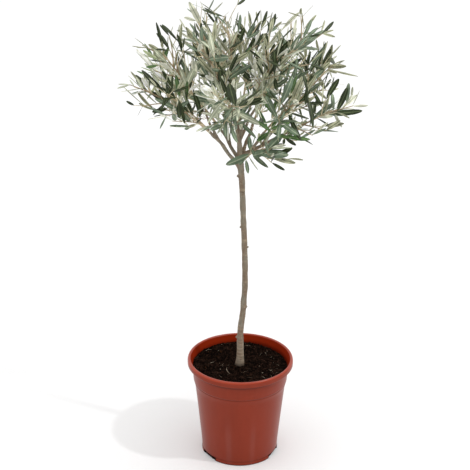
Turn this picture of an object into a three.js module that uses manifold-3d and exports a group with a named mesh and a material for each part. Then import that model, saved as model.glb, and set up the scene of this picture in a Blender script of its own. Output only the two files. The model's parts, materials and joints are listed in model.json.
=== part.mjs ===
// A young olive tree grown as a standard: one slim bare stem with a wide, loose head of
// narrow leaves, standing in the compost of a terracotta-coloured plastic nursery pot.
// Millimetres, +Z up. The origin is the middle of the pot's flat underside. -Y is the
// front, +X the right.
import * as THREE from "three";
import { mergeVertices } from "three/addons/utils/BufferGeometryUtils.js";
import Module from "manifold-3d";

const wasm = await Module();
wasm.setup();

// Pot
const POT_HEIGHT = 206.5;
const RIM_RADIUS = 105;
const RIM_HEIGHT = 11.5;
const RIM_INNER_RADIUS = 97;
const RIM_ROUND = 2.5;
const COLLAR_TOP_RADIUS = 95.5;
const COLLAR_FOOT_RADIUS = 91.5;
const COLLAR_FOOT_HEIGHT = 152;
const COLLAR_STEP = 2.5;
const BASE_RADIUS = 75;
const BASE_BEVEL = 2.5;
const BASE_BEVEL_HEIGHT = 7;
const WALL = 2.2;
const FLOOR = 6;
const DRAIN_SLOTS = 3;
const DRAIN_TURN = 95.5;
const DRAIN_WIDTH = 42;
const DRAIN_HEIGHT = 4;
const DRAIN_INNER_RADIUS = 58;
const POT_SIDES = 48;

// Compost
const SOIL_LEVEL = 188;
const SOIL_DISH = 2;
const SOIL_FLAT_RADIUS = 28;
const SOIL_SIDES = 32;

// Every solid stays this far from its neighbours.
const CLEARANCE = 0.3;

// Trunk: it bows to the right between the compost and its tip. Each row of the taper is a
// share of the height and the radius there.
const TRUNK_TIP_HEIGHT = 655;
const TRUNK_BOW = 12;
const TRUNK_SIDES = 10;
const TRUNK_TAPER = [
  [0, 9.8],
  [0.02, 8.5],
  [0.05, 7.6],
  [0.1, 7],
  [0.2, 6.6],
  [0.32, 6.3],
  [0.45, 6.15],
  [0.58, 6.05],
  [0.7, 6],
  [0.82, 6.1],
  [0.9, 6.7],
  [0.95, 6.3],
  [1, 4.7],
];

// Limbs. Each leaves the trunk at a height, or another limb at a share of its length, and
// runs to its far end: the turn round the trunk in degrees (0 is right, 90 the back), the
// distance out, and the height. A limb with more arch rises sooner and leans out later. The
// bough is the bare share of it, and the rest is the stem of its mass of leaves, which
// stay within reach of the stem and above the floor.
const LIMBS = [
  { name: "left", at: 601, turn: 186, out: 182, up: 772, r: 4.3, arch: 0.2 },
  { name: "left_back", at: 616, turn: 147, out: 174, up: 780, r: 3.9, arch: 0.16 },
  { name: "back_right", at: 625, turn: 62, out: 176, up: 776, r: 4, arch: 0.14 },
  { name: "right", at: 634, turn: 345, out: 172, up: 738, r: 4.2, arch: 0, floor: 640 },
  { name: "front", at: 645, turn: 262, out: 160, up: 792, r: 3.8, arch: 0.1 },
  { name: "top", at: 650, turn: 180, out: 20, up: 874, r: 4.2, arch: 0, bare: 0.5 },
  { name: "left_front", on: "left", at: 0.26, turn: 220, out: 160, up: 782, r: 3.1, arch: 0.05 },
  { name: "high_left", on: "left", at: 0.32, turn: 182, out: 138, up: 830, r: 2.9, arch: 0.1 },
  { name: "back_left", on: "left_back", at: 0.2, turn: 105, out: 176, up: 776, r: 3.2, arch: 0.12 },
  { name: "right_back", on: "right", at: 0.24, turn: 22, out: 170, up: 774, r: 3.3, arch: 0.06 },
  {
    name: "front_right",
    on: "right",
    at: 0.12,
    turn: 305,
    out: 162,
    up: 778,
    r: 3.3,
    arch: 0.08,
    floor: 655,
  },
  { name: "high_front_left", on: "front", at: 0.16, turn: 236, out: 98, up: 846, r: 3, arch: 0.12 },
  { name: "high_left_back", on: "top", at: 0.04, turn: 138, out: 96, up: 852, r: 3.2, arch: 0.14 },
  { name: "high_right", on: "top", at: 0.06, turn: 4, out: 120, up: 858, r: 3.2, arch: 0.12 },
  { name: "high_back", on: "top", at: 0.1, turn: 76, out: 104, up: 830, r: 3, arch: 0.12 },
  { name: "high_front_right", on: "top", at: 0.08, turn: 312, out: 98, up: 846, r: 3, arch: 0.12 },
  {
    name: "low_shoot",
    on: "right",
    at: 0.08,
    turn: 311,
    out: 76,
    up: 670,
    r: 1.9,
    arch: 0,
    bare: 0.3,
    floor: 600,
  },
].map((limb) => ({ bare: 0.4, reach: 65, floor: 668, ...limb }));
const LIMB_SIDES = 6;
const LIMB_STEPS = 4;
const LIMB_TAPER = 0.62;
// The floor of a mass rises outwards from the trunk.
const FLOOR_RISE = 0.3;

// Shoots and leaves inside a mass
const SHOOT_SPACING = 16;
const SHOOT_SIDES = 3;
const SHOOT_RADIUS = 1.5;
const SHOOT_TIP_RADIUS = 0.95;
const SHOOT_LENGTH = 52;
const SHOOT_SHORTEST = 7;
const SHOOT_TIP_ROOM = 22;
const SHOOT_RISE = 0.25;
const SHOOT_TRIES = 5;
const STEM_END = 28;
const SHOOT_WIDE_ANGLE = 74;
const SHOOT_NARROW_ANGLE = 36;
const STEM_SIDES = 4;
const STEM_STEPS = 2;
const GOLDEN_TURN = 137.5;
const LEAF_LENGTH = 58;
const LEAF_WIDTH = 14;
const LEAF_THICKNESS = 1.4;
const LEAF_SPREAD = 46;
const LEAF_SPACING = 14;
const LEAF_TRIES = 9;
const LEAF_RISE = 0.12;
const LEAF_ROOT = 0.35;
const LEAF_APART = 1.2;
const LIMB_APART = 1.2;
const SMALLEST_EDGE = 0.05;
const SEED = 34;

const TERRACOTTA = { color: 0x8a3d2b, roughness: 0.5, metalness: 0 };
const COMPOST = { color: 0x1c130f, roughness: 0.95, metalness: 0 };
const BARK = { color: 0x8d7d6c, roughness: 0.85, metalness: 0 };
const LEAF = { color: 0x74836a, roughness: 0.6, metalness: 0 };

const UP = new THREE.Vector3(0, 0, 1);
const RIGHT = new THREE.Vector3(1, 0, 0);
const BACK = new THREE.Vector3(0, 1, 0);

/** Repeatable numbers from 0 to 1 for one seed. */
function seeded(seed) {
  let state = seed;
  return () => {
    state = (state * 48271) % 2147483647;
    return state / 2147483647;
  };
}

/** A solid from a closed three.js geometry. */
function solidOf(geometry) {
  const bare = new THREE.BufferGeometry();
  bare.setAttribute("position", geometry.getAttribute("position").clone());
  if (geometry.index) bare.setIndex(geometry.index.clone());
  const merged = mergeVertices(bare, 1e-4);
  return new wasm.Manifold(
    new wasm.Mesh({
      numProp: 3,
      vertProperties: new Float32Array(merged.attributes.position.array),
      triVerts: new Uint32Array(merged.index.array),
    }),
  );
}

/** A three.js geometry from a solid, keeping only its largest piece. */
function geometryOf(solid) {
  const pieces = solid.decompose().sort((a, b) => b.volume() - a.volume());
  const mesh = pieces[0].getMesh();
  const positions = new Float32Array(mesh.numVert * 3);
  for (let i = 0; i < mesh.numVert; i++)
    for (let axis = 0; axis < 3; axis++)
      positions[i * 3 + axis] = mesh.vertProperties[i * mesh.numProp + axis];
  const geometry = new THREE.BufferGeometry();
  geometry.setAttribute("position", new THREE.BufferAttribute(positions, 3));
  geometry.setIndex(new THREE.BufferAttribute(new Uint32Array(mesh.triVerts), 1));
  geometry.computeVertexNormals();
  return geometry;
}

/** A closed turned shape about Z from a profile of [radius, height] pairs. */
function turned(profile, sides) {
  const points = profile.map(([r, z]) => new THREE.Vector2(r, z));
  const geometry = new THREE.LatheGeometry(points, sides);
  geometry.rotateX(Math.PI / 2);
  return solidOf(geometry);
}

/** Direction along a run of points at one of them. */
function tangentAt(points, i) {
  const before = points[Math.max(i - 1, 0)];
  const after = points[Math.min(i + 1, points.length - 1)];
  return after.clone().sub(before).normalize();
}

/** A tapered limb: a cylinder bent along a run of points, with a radius at each. */
function limbSolid(points, radii, sides) {
  const steps = points.length - 1;
  const geometry = new THREE.CylinderGeometry(1, 1, 1, sides, steps);
  const way = points[steps].clone().sub(points[0]).normalize();
  const reference = Math.abs(way.x) < 0.8 ? RIGHT : BACK;
  const place = geometry.getAttribute("position");
  for (let i = 0; i < place.count; i++) {
    const step = Math.round((place.getY(i) + 0.5) * steps);
    const along = tangentAt(points, step);
    const across = reference.clone().addScaledVector(along, -reference.dot(along)).normalize();
    const third = along.clone().cross(across);
    const at = points[step].clone();
    at.addScaledVector(third, place.getX(i) * radii[step]);
    at.addScaledVector(across, place.getZ(i) * radii[step]);
    place.setXYZ(i, at.x, at.y, at.z);
  }
  return solidOf(geometry);
}

/** Points from one share of a curve to another, ends included. */
function stretch(curve, from, to, steps) {
  const points = [];
  for (let i = 0; i <= steps; i++) points.push(curve.getPoint(from + ((to - from) * i) / steps));
  return points;
}

/** Radii that fall evenly over a run of points. */
function taper(first, last, steps) {
  const radii = [];
  for (let i = 0; i <= steps; i++) radii.push(first + ((last - first) * i) / steps);
  return radii;
}

/** The pot: a thin tapering wall, a deep collar, a rolled rim and slots in its foot. */
function potSolid() {
  const rimFoot = POT_HEIGHT - RIM_HEIGHT;
  const stepHeight = COLLAR_FOOT_HEIGHT - COLLAR_STEP;
  const wallTopRadius = COLLAR_FOOT_RADIUS - COLLAR_STEP;
  const profile = [
    [0, 0],
    [BASE_RADIUS - BASE_BEVEL, 0],
    [BASE_RADIUS, BASE_BEVEL_HEIGHT],
    [wallTopRadius, stepHeight],
    [COLLAR_FOOT_RADIUS, COLLAR_FOOT_HEIGHT],
    [COLLAR_TOP_RADIUS, rimFoot + RIM_ROUND],
    [RIM_RADIUS - RIM_ROUND, rimFoot],
    [RIM_RADIUS, rimFoot + RIM_ROUND],
    [RIM_RADIUS, POT_HEIGHT - RIM_ROUND],
    [RIM_RADIUS - RIM_ROUND, POT_HEIGHT],
    [RIM_INNER_RADIUS, POT_HEIGHT],
    [COLLAR_TOP_RADIUS - WALL, rimFoot],
    [COLLAR_FOOT_RADIUS - WALL, COLLAR_FOOT_HEIGHT],
    [wallTopRadius - WALL, stepHeight],
    [BASE_RADIUS - WALL, FLOOR],
    [0, FLOOR],
  ];
  let pot = turned(profile, POT_SIDES);
  const depth = BASE_RADIUS + 10 - DRAIN_INNER_RADIUS;
  for (let i = 0; i < DRAIN_SLOTS; i++) {
    const slot = new THREE.BoxGeometry(depth, DRAIN_WIDTH, 2 * DRAIN_HEIGHT);
    slot.translate(DRAIN_INNER_RADIUS + depth / 2, 0, 0);
    slot.rotateZ(THREE.MathUtils.degToRad(DRAIN_TURN + (360 * i) / DRAIN_SLOTS));
    pot = pot.subtract(solidOf(slot));
  }
  return pot;
}

/** The compost: it fills the pot to a little under the rim and dips towards the wall. */
function soilSolid() {
  const inset = WALL + CLEARANCE + 0.5;
  const profile = [
    [0, FLOOR + CLEARANCE],
    [BASE_RADIUS - inset, FLOOR + CLEARANCE],
    [COLLAR_FOOT_RADIUS - COLLAR_STEP - inset, COLLAR_FOOT_HEIGHT - COLLAR_STEP],
    [COLLAR_FOOT_RADIUS - inset, COLLAR_FOOT_HEIGHT],
    [COLLAR_TOP_RADIUS - inset - 0.8, SOIL_LEVEL - SOIL_DISH],
    [SOIL_FLAT_RADIUS, SOIL_LEVEL],
    [0, SOIL_LEVEL],
  ];
  return turned(profile, SOIL_SIDES);
}

const trunkFoot = SOIL_LEVEL + CLEARANCE;

/** The trunk's middle line at a share of its height. */
function trunkAt(share) {
  const bow = TRUNK_BOW * Math.sin(Math.PI * share);
  return new THREE.Vector3(bow, 0, trunkFoot + share * (TRUNK_TIP_HEIGHT - trunkFoot));
}

/** Each limb's middle curve, whole from its parent's middle line to its far end. */
function limbCurves() {
  const curves = new Map();
  for (const { name, on, at, turn, out, up, arch } of LIMBS) {
    const share = (at - trunkFoot) / (TRUNK_TIP_HEIGHT - trunkFoot);
    const start = on ? curves.get(on).getPoint(at) : trunkAt(share);
    const angle = THREE.MathUtils.degToRad(turn);
    const end = new THREE.Vector3(out * Math.cos(angle), out * Math.sin(angle), up);
    const way = end.clone().sub(start);
    const elbow = start.clone().addScaledVector(way, 0.5);
    elbow.x -= way.x * arch;
    elbow.y -= way.y * arch;
    elbow.z += way.z * arch * 0.6;
    curves.set(name, new THREE.QuadraticBezierCurve3(start, elbow, end));
  }
  return curves;
}

/** The nearest points of two straight stretches, as shares of each. */
function nearest(a0, a1, b0, b1) {
  const along = a1.clone().sub(a0);
  const other = b1.clone().sub(b0);
  let s = 0.5;
  let t = 0.5;
  for (let pass = 0; pass < 12; pass++) {
    const onFirst = a0.clone().addScaledVector(along, s);
    t = THREE.MathUtils.clamp(onFirst.sub(b0).dot(other) / other.lengthSq(), 0, 1);
    const onSecond = b0.clone().addScaledVector(other, t);
    s = THREE.MathUtils.clamp(onSecond.sub(a0).dot(along) / along.lengthSq(), 0, 1);
  }
  return [s, t];
}

/** Distance from a point to a straight stretch. */
function distanceTo(point, a, b) {
  const along = b.clone().sub(a);
  const t = THREE.MathUtils.clamp(point.clone().sub(a).dot(along) / along.lengthSq(), 0, 1);
  return point.distanceTo(a.clone().addScaledVector(along, t));
}

/** The space of each mass: within reach of its stem, on its own side of every other's. */
function massSpaces(curves) {
  const stems = LIMBS.map(({ name, bare }) => {
    const curve = curves.get(name);
    return [curve.getPoint(bare), curve.getPoint(1)];
  });
  return LIMBS.map(({ reach, floor }, i) => {
    const [root, end] = stems[i];
    const walls = [];
    stems.forEach(([otherRoot, otherEnd], j) => {
      if (i === j) return;
      const [s, t] = nearest(root, end, otherRoot, otherEnd);
      const mine = root.clone().lerp(end, s);
      const away = otherRoot.clone().lerp(otherEnd, t).sub(mine);
      const half = (away.length() - CLEARANCE) / 2;
      away.normalize();
      walls.push({ away, limit: mine.dot(away) + half });
    });
    return (point, margin) =>
      point.z > floor + FLOOR_RISE * Math.hypot(point.x, point.y) + margin &&
      distanceTo(point, root, end) < reach - margin &&
      walls.every(({ away, limit }) => point.dot(away) < limit - margin);
  });
}

/** A direction turned away from an axis by an angle, at a roll round it, in degrees. */
function leaning(axis, angle, roll) {
  const reference = Math.abs(axis.z) < 0.9 ? UP : RIGHT;
  const side = axis.clone().cross(reference).normalize();
  const third = axis.clone().cross(side);
  const a = THREE.MathUtils.degToRad(angle);
  const b = THREE.MathUtils.degToRad(roll);
  return axis
    .clone()
    .multiplyScalar(Math.cos(a))
    .addScaledVector(side, Math.sin(a) * Math.cos(b))
    .addScaledVector(third, Math.sin(a) * Math.sin(b));
}

/** Whether a straight piece of some half width stays in its space and off every limb. */
function isClear(from, to, halfWidth, inside, limbs) {
  const samples = Math.ceil(from.distanceTo(to) / 4);
  for (let i = 0; i <= samples; i++) {
    const point = from.clone().lerp(to, i / samples);
    if (!inside(point, halfWidth)) return false;
    for (const { points, radii } of limbs)
      for (let k = 1; k < points.length; k++) {
        const room = Math.max(radii[k - 1], radii[k]) + halfWidth + LIMB_APART;
        if (distanceTo(point, points[k - 1], points[k]) < room) return false;
      }
  }
  return true;
}

/** A shoot from a point on a stem, or null where there is no room for one. */
function placeShoot(from, along, angle, roll, most, thick, inside, limbs) {
  const way = leaning(along, angle, roll);
  way.addScaledVector(UP, SHOOT_RISE).normalize();
  const step = 3;
  let reach = 0;
  while (reach < most && inside(from.clone().addScaledVector(way, reach + step), 0)) reach += step;
  const length = reach - SHOOT_TIP_ROOM;
  const start = from.clone().addScaledVector(way, thick + 1);
  const tip = from.clone().addScaledVector(way, length);
  if (length < SHOOT_SHORTEST || !isClear(start, tip, SHOOT_RADIUS, inside, limbs)) return null;
  return { from, way, length, roll };
}

/** A place and a direction at a share of a run of points. */
function alongLine(points, share) {
  const whole = Math.min(Math.floor(share * (points.length - 1)), points.length - 2);
  const [first, second] = [points[whole], points[whole + 1]];
  const from = first.clone().lerp(second, share * (points.length - 1) - whole);
  return { from, along: second.clone().sub(first).normalize() };
}

/** The shoots that leave a mass's stem, and the leafy end of the stem itself. */
function growShoots(limb, index, stem, inside, limbs) {
  const shoots = [];
  const count = Math.round(stem[0].distanceTo(stem[stem.length - 1]) / SHOOT_SPACING);
  for (let k = 0; k < count; k++) {
    const random = seeded(SEED * 10007 + index * 389 + k * 31 + 1);
    const share = (k + 0.5) / count;
    const { from, along } = alongLine(stem, 0.03 + 0.92 * share);
    const angle = SHOOT_WIDE_ANGLE + (SHOOT_NARROW_ANGLE - SHOOT_WIDE_ANGLE) * share;
    const most = SHOOT_LENGTH * (0.7 + 0.5 * random()) + SHOOT_TIP_ROOM;
    for (let attempt = 0; attempt < SHOOT_TRIES; attempt++) {
      const roll = k * GOLDEN_TURN + 50 * random() + 110 * attempt;
      const thick = limb.r * LIMB_TAPER;
      const shoot = placeShoot(from, along, angle, roll, most, thick, inside, limbs);
      if (!shoot) continue;
      shoots.push({ ...shoot, seed: k + 1 });
      break;
    }
  }
  const { from: tip, along: way } = alongLine(stem, 1);
  const from = tip.addScaledVector(way, -STEM_END);
  shoots.push({ from, way, length: STEM_END, roll: 90 * index, seed: count + 1, onStem: true });
  return shoots;
}

/** How wide a leaf is to each side at a share of the stretch from its start to its tip. */
function leafHalfWidth(share) {
  return (LEAF_WIDTH / 2) * (1 - Math.abs(share - 0.35) / 0.65);
}

/** A leaf's places, or null where it would leave its space or touch another part. */
function placeLeaf(root, way, length, roll, others, inside, limbs) {
  const flat = leaning(way, 90, roll);
  const start = root.clone().addScaledVector(way, 0.16 * length);
  const heart = root.clone().addScaledVector(way, 0.45 * length);
  const tip = root.clone().addScaledVector(way, length);
  const sides = [-1, 1].map((side) => heart.clone().addScaledVector(flat, (side * LEAF_WIDTH) / 2));
  if (!isClear(start, tip, LEAF_THICKNESS, inside, limbs)) return null;
  if (!isClear(sides[0], sides[1], LEAF_THICKNESS, inside, limbs)) return null;
  for (const other of others) {
    const [s, t] = nearest(start, tip, other.start, other.tip);
    const mine = start.clone().lerp(tip, s);
    const theirs = other.start.clone().lerp(other.tip, t);
    const width = other.radius ?? leafHalfWidth(t);
    if (mine.distanceTo(theirs) < LEAF_APART + 0.6 * (leafHalfWidth(s) + width)) return null;
  }
  return { root, way, heart, start, tip, flat };
}

/** One leaf: a three-sided double cone drawn out to its root, tip, edges and keel. */
function leafSolid({ root, way, heart, tip, flat }) {
  const geometry = new THREE.SphereGeometry(1, 3, 2);
  const keel = flat.clone().cross(way);
  const place = geometry.getAttribute("position");
  const edge = Math.sin(THREE.MathUtils.degToRad(120));
  for (let i = 0; i < place.count; i++) {
    const at = heart.clone();
    at.addScaledVector(flat, ((place.getZ(i) / edge) * LEAF_WIDTH) / 2);
    at.addScaledVector(keel, ((0.5 - place.getX(i)) / 1.5) * LEAF_THICKNESS);
    if (place.getY(i) > 0.5) at.copy(tip);
    if (place.getY(i) < -0.5) at.copy(root).addScaledVector(way, -LEAF_ROOT);
    place.setXYZ(i, at.x, at.y, at.z);
  }
  return solidOf(geometry);
}

/** The leaves of one shoot, in opposite pairs; each that fits joins the list of others. */
function growLeaves(shoot, index, others, inside, limbs) {
  const { from, way, length, roll, seed } = shoot;
  const random = seeded(SEED * 20011 + index * 389 + seed * 31);
  const pairs = Math.max(1, Math.round(length / LEAF_SPACING));
  const leaves = [];
  for (let i = 2 * pairs - 1; i >= 0; i--) {
    const pair = Math.floor(i / 2) + 1;
    const root = from.clone().addScaledVector(way, (length * (pair - 0.12)) / pairs);
    for (let attempt = 0; attempt < LEAF_TRIES; attempt++) {
      const side = roll + 90 * pair + 180 * (i % 2) + 30 * attempt * (random() - 0.5);
      const spread = LEAF_SPREAD * (1.15 - 0.07 * attempt - 0.3 * random());
      const axis = leaning(way, spread, side);
      axis.addScaledVector(UP, LEAF_RISE).normalize();
      const size = LEAF_LENGTH * (0.84 + 0.3 * random()) * (1 - 0.03 * attempt);
      const leaf = placeLeaf(root, axis, size, 360 * random(), others, inside, limbs);
      if (!leaf) continue;
      leaves.push(leaf);
      others.push(leaf);
      break;
    }
  }
  return leaves;
}

/** One mass: its stem, the shoots that leave it and the leaves on them, fused. */
function massSolid(limb, index, curve, inside, limbs) {
  const gap = CLEARANCE / curve.getLength();
  const stem = stretch(curve, limb.bare + gap, 1, STEM_STEPS);
  const radii = taper(limb.r * LIMB_TAPER, SHOOT_TIP_RADIUS, STEM_STEPS);
  let mass = limbSolid(stem, radii, STEM_SIDES);
  const shoots = growShoots(limb, index, stem, inside, limbs);
  const wood = shoots.map(({ from, way, length, onStem }) => {
    const tip = from.clone().addScaledVector(way, length);
    if (!onStem) {
      const twig = limbSolid([from, tip], [SHOOT_RADIUS, SHOOT_TIP_RADIUS], SHOOT_SIDES);
      mass = mass.add(twig);
    }
    return { start: from, tip, radius: SHOOT_RADIUS };
  });
  for (let k = 1; k < stem.length; k++)
    wood.push({ start: stem[k - 1], tip: stem[k], radius: radii[k - 1] });
  const leaves = [];
  shoots.forEach((shoot, own) => {
    const others = wood.filter((_, i) => i !== own && !(shoot.onStem && i >= shoots.length));
    const mine = [...others, ...leaves];
    for (const leaf of growLeaves(shoot, index, mine, inside, limbs)) {
      leaves.push(leaf);
      mass = mass.add(leafSolid(leaf));
    }
  });
  return mass.simplify(SMALLEST_EDGE);
}

const tree = new THREE.Group();
tree.name = "potted_olive_tree";

/** Adds one named mesh to the tree. */
function add(name, solid, finish) {
  const mesh = new THREE.Mesh(geometryOf(solid), new THREE.MeshStandardMaterial(finish));
  mesh.name = name;
  tree.add(mesh);
}

/** The same radii with the clearance added. */
function widened(radii) {
  return radii.map((r) => r + CLEARANCE);
}

add("pot", potSolid(), TERRACOTTA);
add("soil", soilSolid(), COMPOST);

const trunkLine = TRUNK_TAPER.map(([share]) => trunkAt(share));
const trunkRadii = TRUNK_TAPER.map(([, r]) => r);
add("trunk", limbSolid(trunkLine, trunkRadii, TRUNK_SIDES).trimByPlane([0, 0, 1], trunkFoot), BARK);

const curves = limbCurves();
const limbs = [{ points: trunkLine, radii: trunkRadii }];
const kept = [limbSolid(trunkLine, widened(trunkRadii), TRUNK_SIDES)];
for (const { name, r, bare } of LIMBS) {
  const points = stretch(curves.get(name), 0, bare, LIMB_STEPS);
  const radii = taper(r, r * LIMB_TAPER, LIMB_STEPS);
  const whole = limbSolid(points, radii, LIMB_SIDES);
  add(`bough_${name}`, kept.reduce((rest, other) => rest.subtract(other), whole), BARK);
  kept.push(limbSolid(points, widened(radii), LIMB_SIDES));
  limbs.push({ points, radii });
}

const spaces = massSpaces(curves);
LIMBS.forEach((limb, index) => {
  add(`leaves_${limb.name}`, massSolid(limb, index, curves.get(limb.name), spaces[index], limbs), LEAF);
});

export default tree;
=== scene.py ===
"""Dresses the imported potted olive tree: a young olive on one slim stem, in a
terracotta-coloured plastic nursery pot.

The limbs, shoots and leaves grow by the same seeded rule as the solids of the part, and the
rule is then carried on to finer twigs. Sizes in the classes are millimetres, and meshes are
metres. +Z is up, -Y the front and +X the right, as in the part.
"""

import json
import logging
import math
from dataclasses import dataclass, field
from enum import Enum

import bmesh
import bpy
import numpy as np
from mathutils import Matrix, Vector, noise

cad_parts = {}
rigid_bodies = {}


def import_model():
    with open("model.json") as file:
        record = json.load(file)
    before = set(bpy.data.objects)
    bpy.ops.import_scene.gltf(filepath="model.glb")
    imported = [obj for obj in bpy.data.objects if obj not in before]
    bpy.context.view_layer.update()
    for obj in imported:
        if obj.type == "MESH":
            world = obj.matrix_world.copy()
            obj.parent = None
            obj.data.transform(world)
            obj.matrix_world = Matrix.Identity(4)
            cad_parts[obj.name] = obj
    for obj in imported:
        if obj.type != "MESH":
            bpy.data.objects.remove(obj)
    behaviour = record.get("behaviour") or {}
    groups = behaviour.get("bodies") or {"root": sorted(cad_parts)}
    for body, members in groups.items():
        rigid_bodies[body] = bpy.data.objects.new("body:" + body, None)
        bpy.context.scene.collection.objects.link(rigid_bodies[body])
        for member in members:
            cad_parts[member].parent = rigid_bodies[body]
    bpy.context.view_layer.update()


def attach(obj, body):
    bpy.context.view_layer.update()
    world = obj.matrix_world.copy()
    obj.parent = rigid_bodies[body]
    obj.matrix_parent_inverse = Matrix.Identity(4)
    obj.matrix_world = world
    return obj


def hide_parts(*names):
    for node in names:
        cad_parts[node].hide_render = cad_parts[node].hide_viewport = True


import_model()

MM = 0.001
BODY = "root"
GOLDEN_TURN = 137.5
UP = np.array([0.0, 0.0, 1.0])
RIGHT = np.array([1.0, 0.0, 0.0])
BACK = np.array([0.0, 1.0, 0.0])
log = logging.getLogger("olive")

Array = np.ndarray
Pair = tuple[Array, Array]
Range = tuple[float, float]
Triple = tuple[float, float, float]
Colour = Triple
Material = bpy.types.Material
Mesh = bpy.types.Mesh
Piece = bpy.types.Object


# Numbers and directions


class Chance:
    """Repeatable numbers from one seed, by the same rule as in the part's source."""

    def __init__(self, seed: int) -> None:
        """Starts the run of numbers at a seed."""
        self.state = seed

    def __call__(self) -> float:
        """The next number from 0 to 1."""
        self.state = self.state * 48271 % 2147483647
        return self.state / 2147483647

    def between(self, low: float, high: float) -> float:
        """The next number, between two limits."""
        return low + (high - low) * self()


def unit(way: Array) -> Array:
    """The direction of a vector, one long."""
    return way / np.linalg.norm(way)


def leaning(axis: Array, angle: float, roll: float) -> Array:
    """Turns a direction away from an axis.

    Args:
        axis: The axis, one long.
        angle: How far it turns away, in degrees.
        roll: On which side of the axis, in degrees.

    Returns:
        The new direction.
    """
    side = unit(np.cross(axis, UP if abs(axis[2]) < 0.9 else RIGHT))
    third = np.cross(axis, side)
    a, b = math.radians(angle), math.radians(roll)
    return math.cos(a) * axis + math.sin(a) * (math.cos(b) * side + math.sin(b) * third)


def place_on(points: Array, share: float) -> Pair:
    """A place on a run of points.

    Args:
        points: The points.
        share: How far along them.

    Returns:
        The place, and the direction there.
    """
    spot = share * (len(points) - 1)
    k = min(int(spot), len(points) - 2)
    step = points[k + 1] - points[k]
    return points[k] + step * (spot - k), unit(step)


def distances(points: Array, starts: Array, ends: Array) -> Array:
    """Distances from points to straight stretches.

    Args:
        points: The points, one in each row.
        starts: The first ends of the stretches.
        ends: Their other ends.

    Returns:
        A table with a row for each point and a column for each stretch.
    """
    along = ends - starts
    rel = points[:, None, :] - starts[None]
    share = np.clip((rel * along).sum(2) / (along * along).sum(1), 0, 1)
    return np.linalg.norm(rel - share[..., None] * along, axis=2)


def waves(points: Array, scale: float | Triple) -> Array:
    """Smooth noise from about -1 to 1, changing at a scale per millimetre, at many points."""
    scaled = points * np.asarray(scale)
    return np.fromiter((noise.noise(Vector(p)) for p in scaled), float, len(points))


# The plant's framework


@dataclass(frozen=True)
class Curve:
    """A limb's middle line: one bend from its start by its elbow to its end."""

    start: Array
    elbow: Array
    end: Array

    def point(self, t: float) -> Array:
        """The place at a share of the curve."""
        return (1 - t) ** 2 * self.start + 2 * t * (1 - t) * self.elbow + t * t * self.end

    def run(self, first: float, last: float, steps: int) -> Array:
        """Places from one share to another, ends included."""
        return np.array([self.point(t) for t in np.linspace(first, last, steps + 1)])

    def length(self) -> float:
        """The length along the curve."""
        return float(np.linalg.norm(np.diff(self.run(0, 1, 200), axis=0), axis=1).sum())


@dataclass(frozen=True)
class Limb:
    """One limb: where it leaves the trunk or another limb, where it ends, and its foliage.

    It starts at a height on the trunk, or at a share of the limb that it is on, with the
    radius r. It ends at a turn about the axis, a distance out and a height.
    """

    name: str
    at: float
    turn: float
    out: float
    up: float
    r: float
    arch: float
    on: str = ""
    bare: float = 0.4
    reach: float = 65.0
    floor: float = 668.0
    leafy: float = 1.0
    leaf_size: float = 1.0
    leaf_width: float = 1.0


LOW_LEAVES = {"leafy": 0.85, "leaf_size": 1.4, "leaf_width": 1.2}
LIMBS = (
    Limb("left", 601, 186, 182, 772, 4.3, 0.2, leafy=0.8),
    Limb("left_back", 616, 147, 174, 780, 3.9, 0.16),
    Limb("back_right", 625, 62, 176, 776, 4, 0.14),
    Limb("right", 634, 345, 172, 738, 4.2, 0, floor=640),
    Limb("front", 645, 262, 160, 792, 3.8, 0.1),
    Limb("top", 650, 180, 20, 874, 4.2, 0, bare=0.5, leafy=0.75),
    Limb("left_front", 0.26, 220, 160, 782, 3.1, 0.05, on="left"),
    Limb("high_left", 0.32, 182, 138, 830, 2.9, 0.1, on="left", leafy=0.65),
    Limb("back_left", 0.2, 105, 176, 776, 3.2, 0.12, on="left_back"),
    Limb("right_back", 0.24, 22, 170, 774, 3.3, 0.06, on="right"),
    Limb("front_right", 0.12, 305, 162, 778, 3.3, 0.08, on="right", floor=655),
    Limb("high_front_left", 0.16, 236, 98, 846, 3, 0.12, on="front"),
    Limb("high_left_back", 0.04, 138, 96, 852, 3.2, 0.14, on="top", leafy=0.7),
    Limb("high_right", 0.06, 4, 120, 858, 3.2, 0.12, on="top", leafy=0.7),
    Limb("high_back", 0.1, 76, 104, 830, 3, 0.12, on="top", leafy=0.75),
    Limb("high_front_right", 0.08, 312, 98, 846, 3, 0.12, on="top"),
    Limb("low_shoot", 0.08, 311, 76, 670, 1.9, 0, on="right", bare=0.3, floor=600, **LOW_LEAVES),
)


@dataclass(frozen=True)
class Space:
    """The room of one mass: near its stem, above its floor, on its side of every wall."""

    root: Array
    end: Array
    reach: float
    floor: float
    rise: float
    aways: Array
    limits: Array

    def holds(self, points: Array, margin: float, over: float = 0.0) -> bool:
        """Whether every point lies in the space.

        Args:
            points: The points, one in each row.
            margin: How far inside they have to be.
            over: How far they may pass the walls to the neighbours, and half of it the reach.

        Returns:
            True if all of them do.
        """
        floor = self.floor + self.rise * np.hypot(points[:, 0], points[:, 1])
        if not (points[:, 2] > floor + margin).all():
            return False
        away = distances(points, self.root[None], self.end[None])
        if not (away < self.reach - margin + over / 2).all():
            return False
        return bool((points @ self.aways.T < self.limits - margin + over).all())


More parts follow.
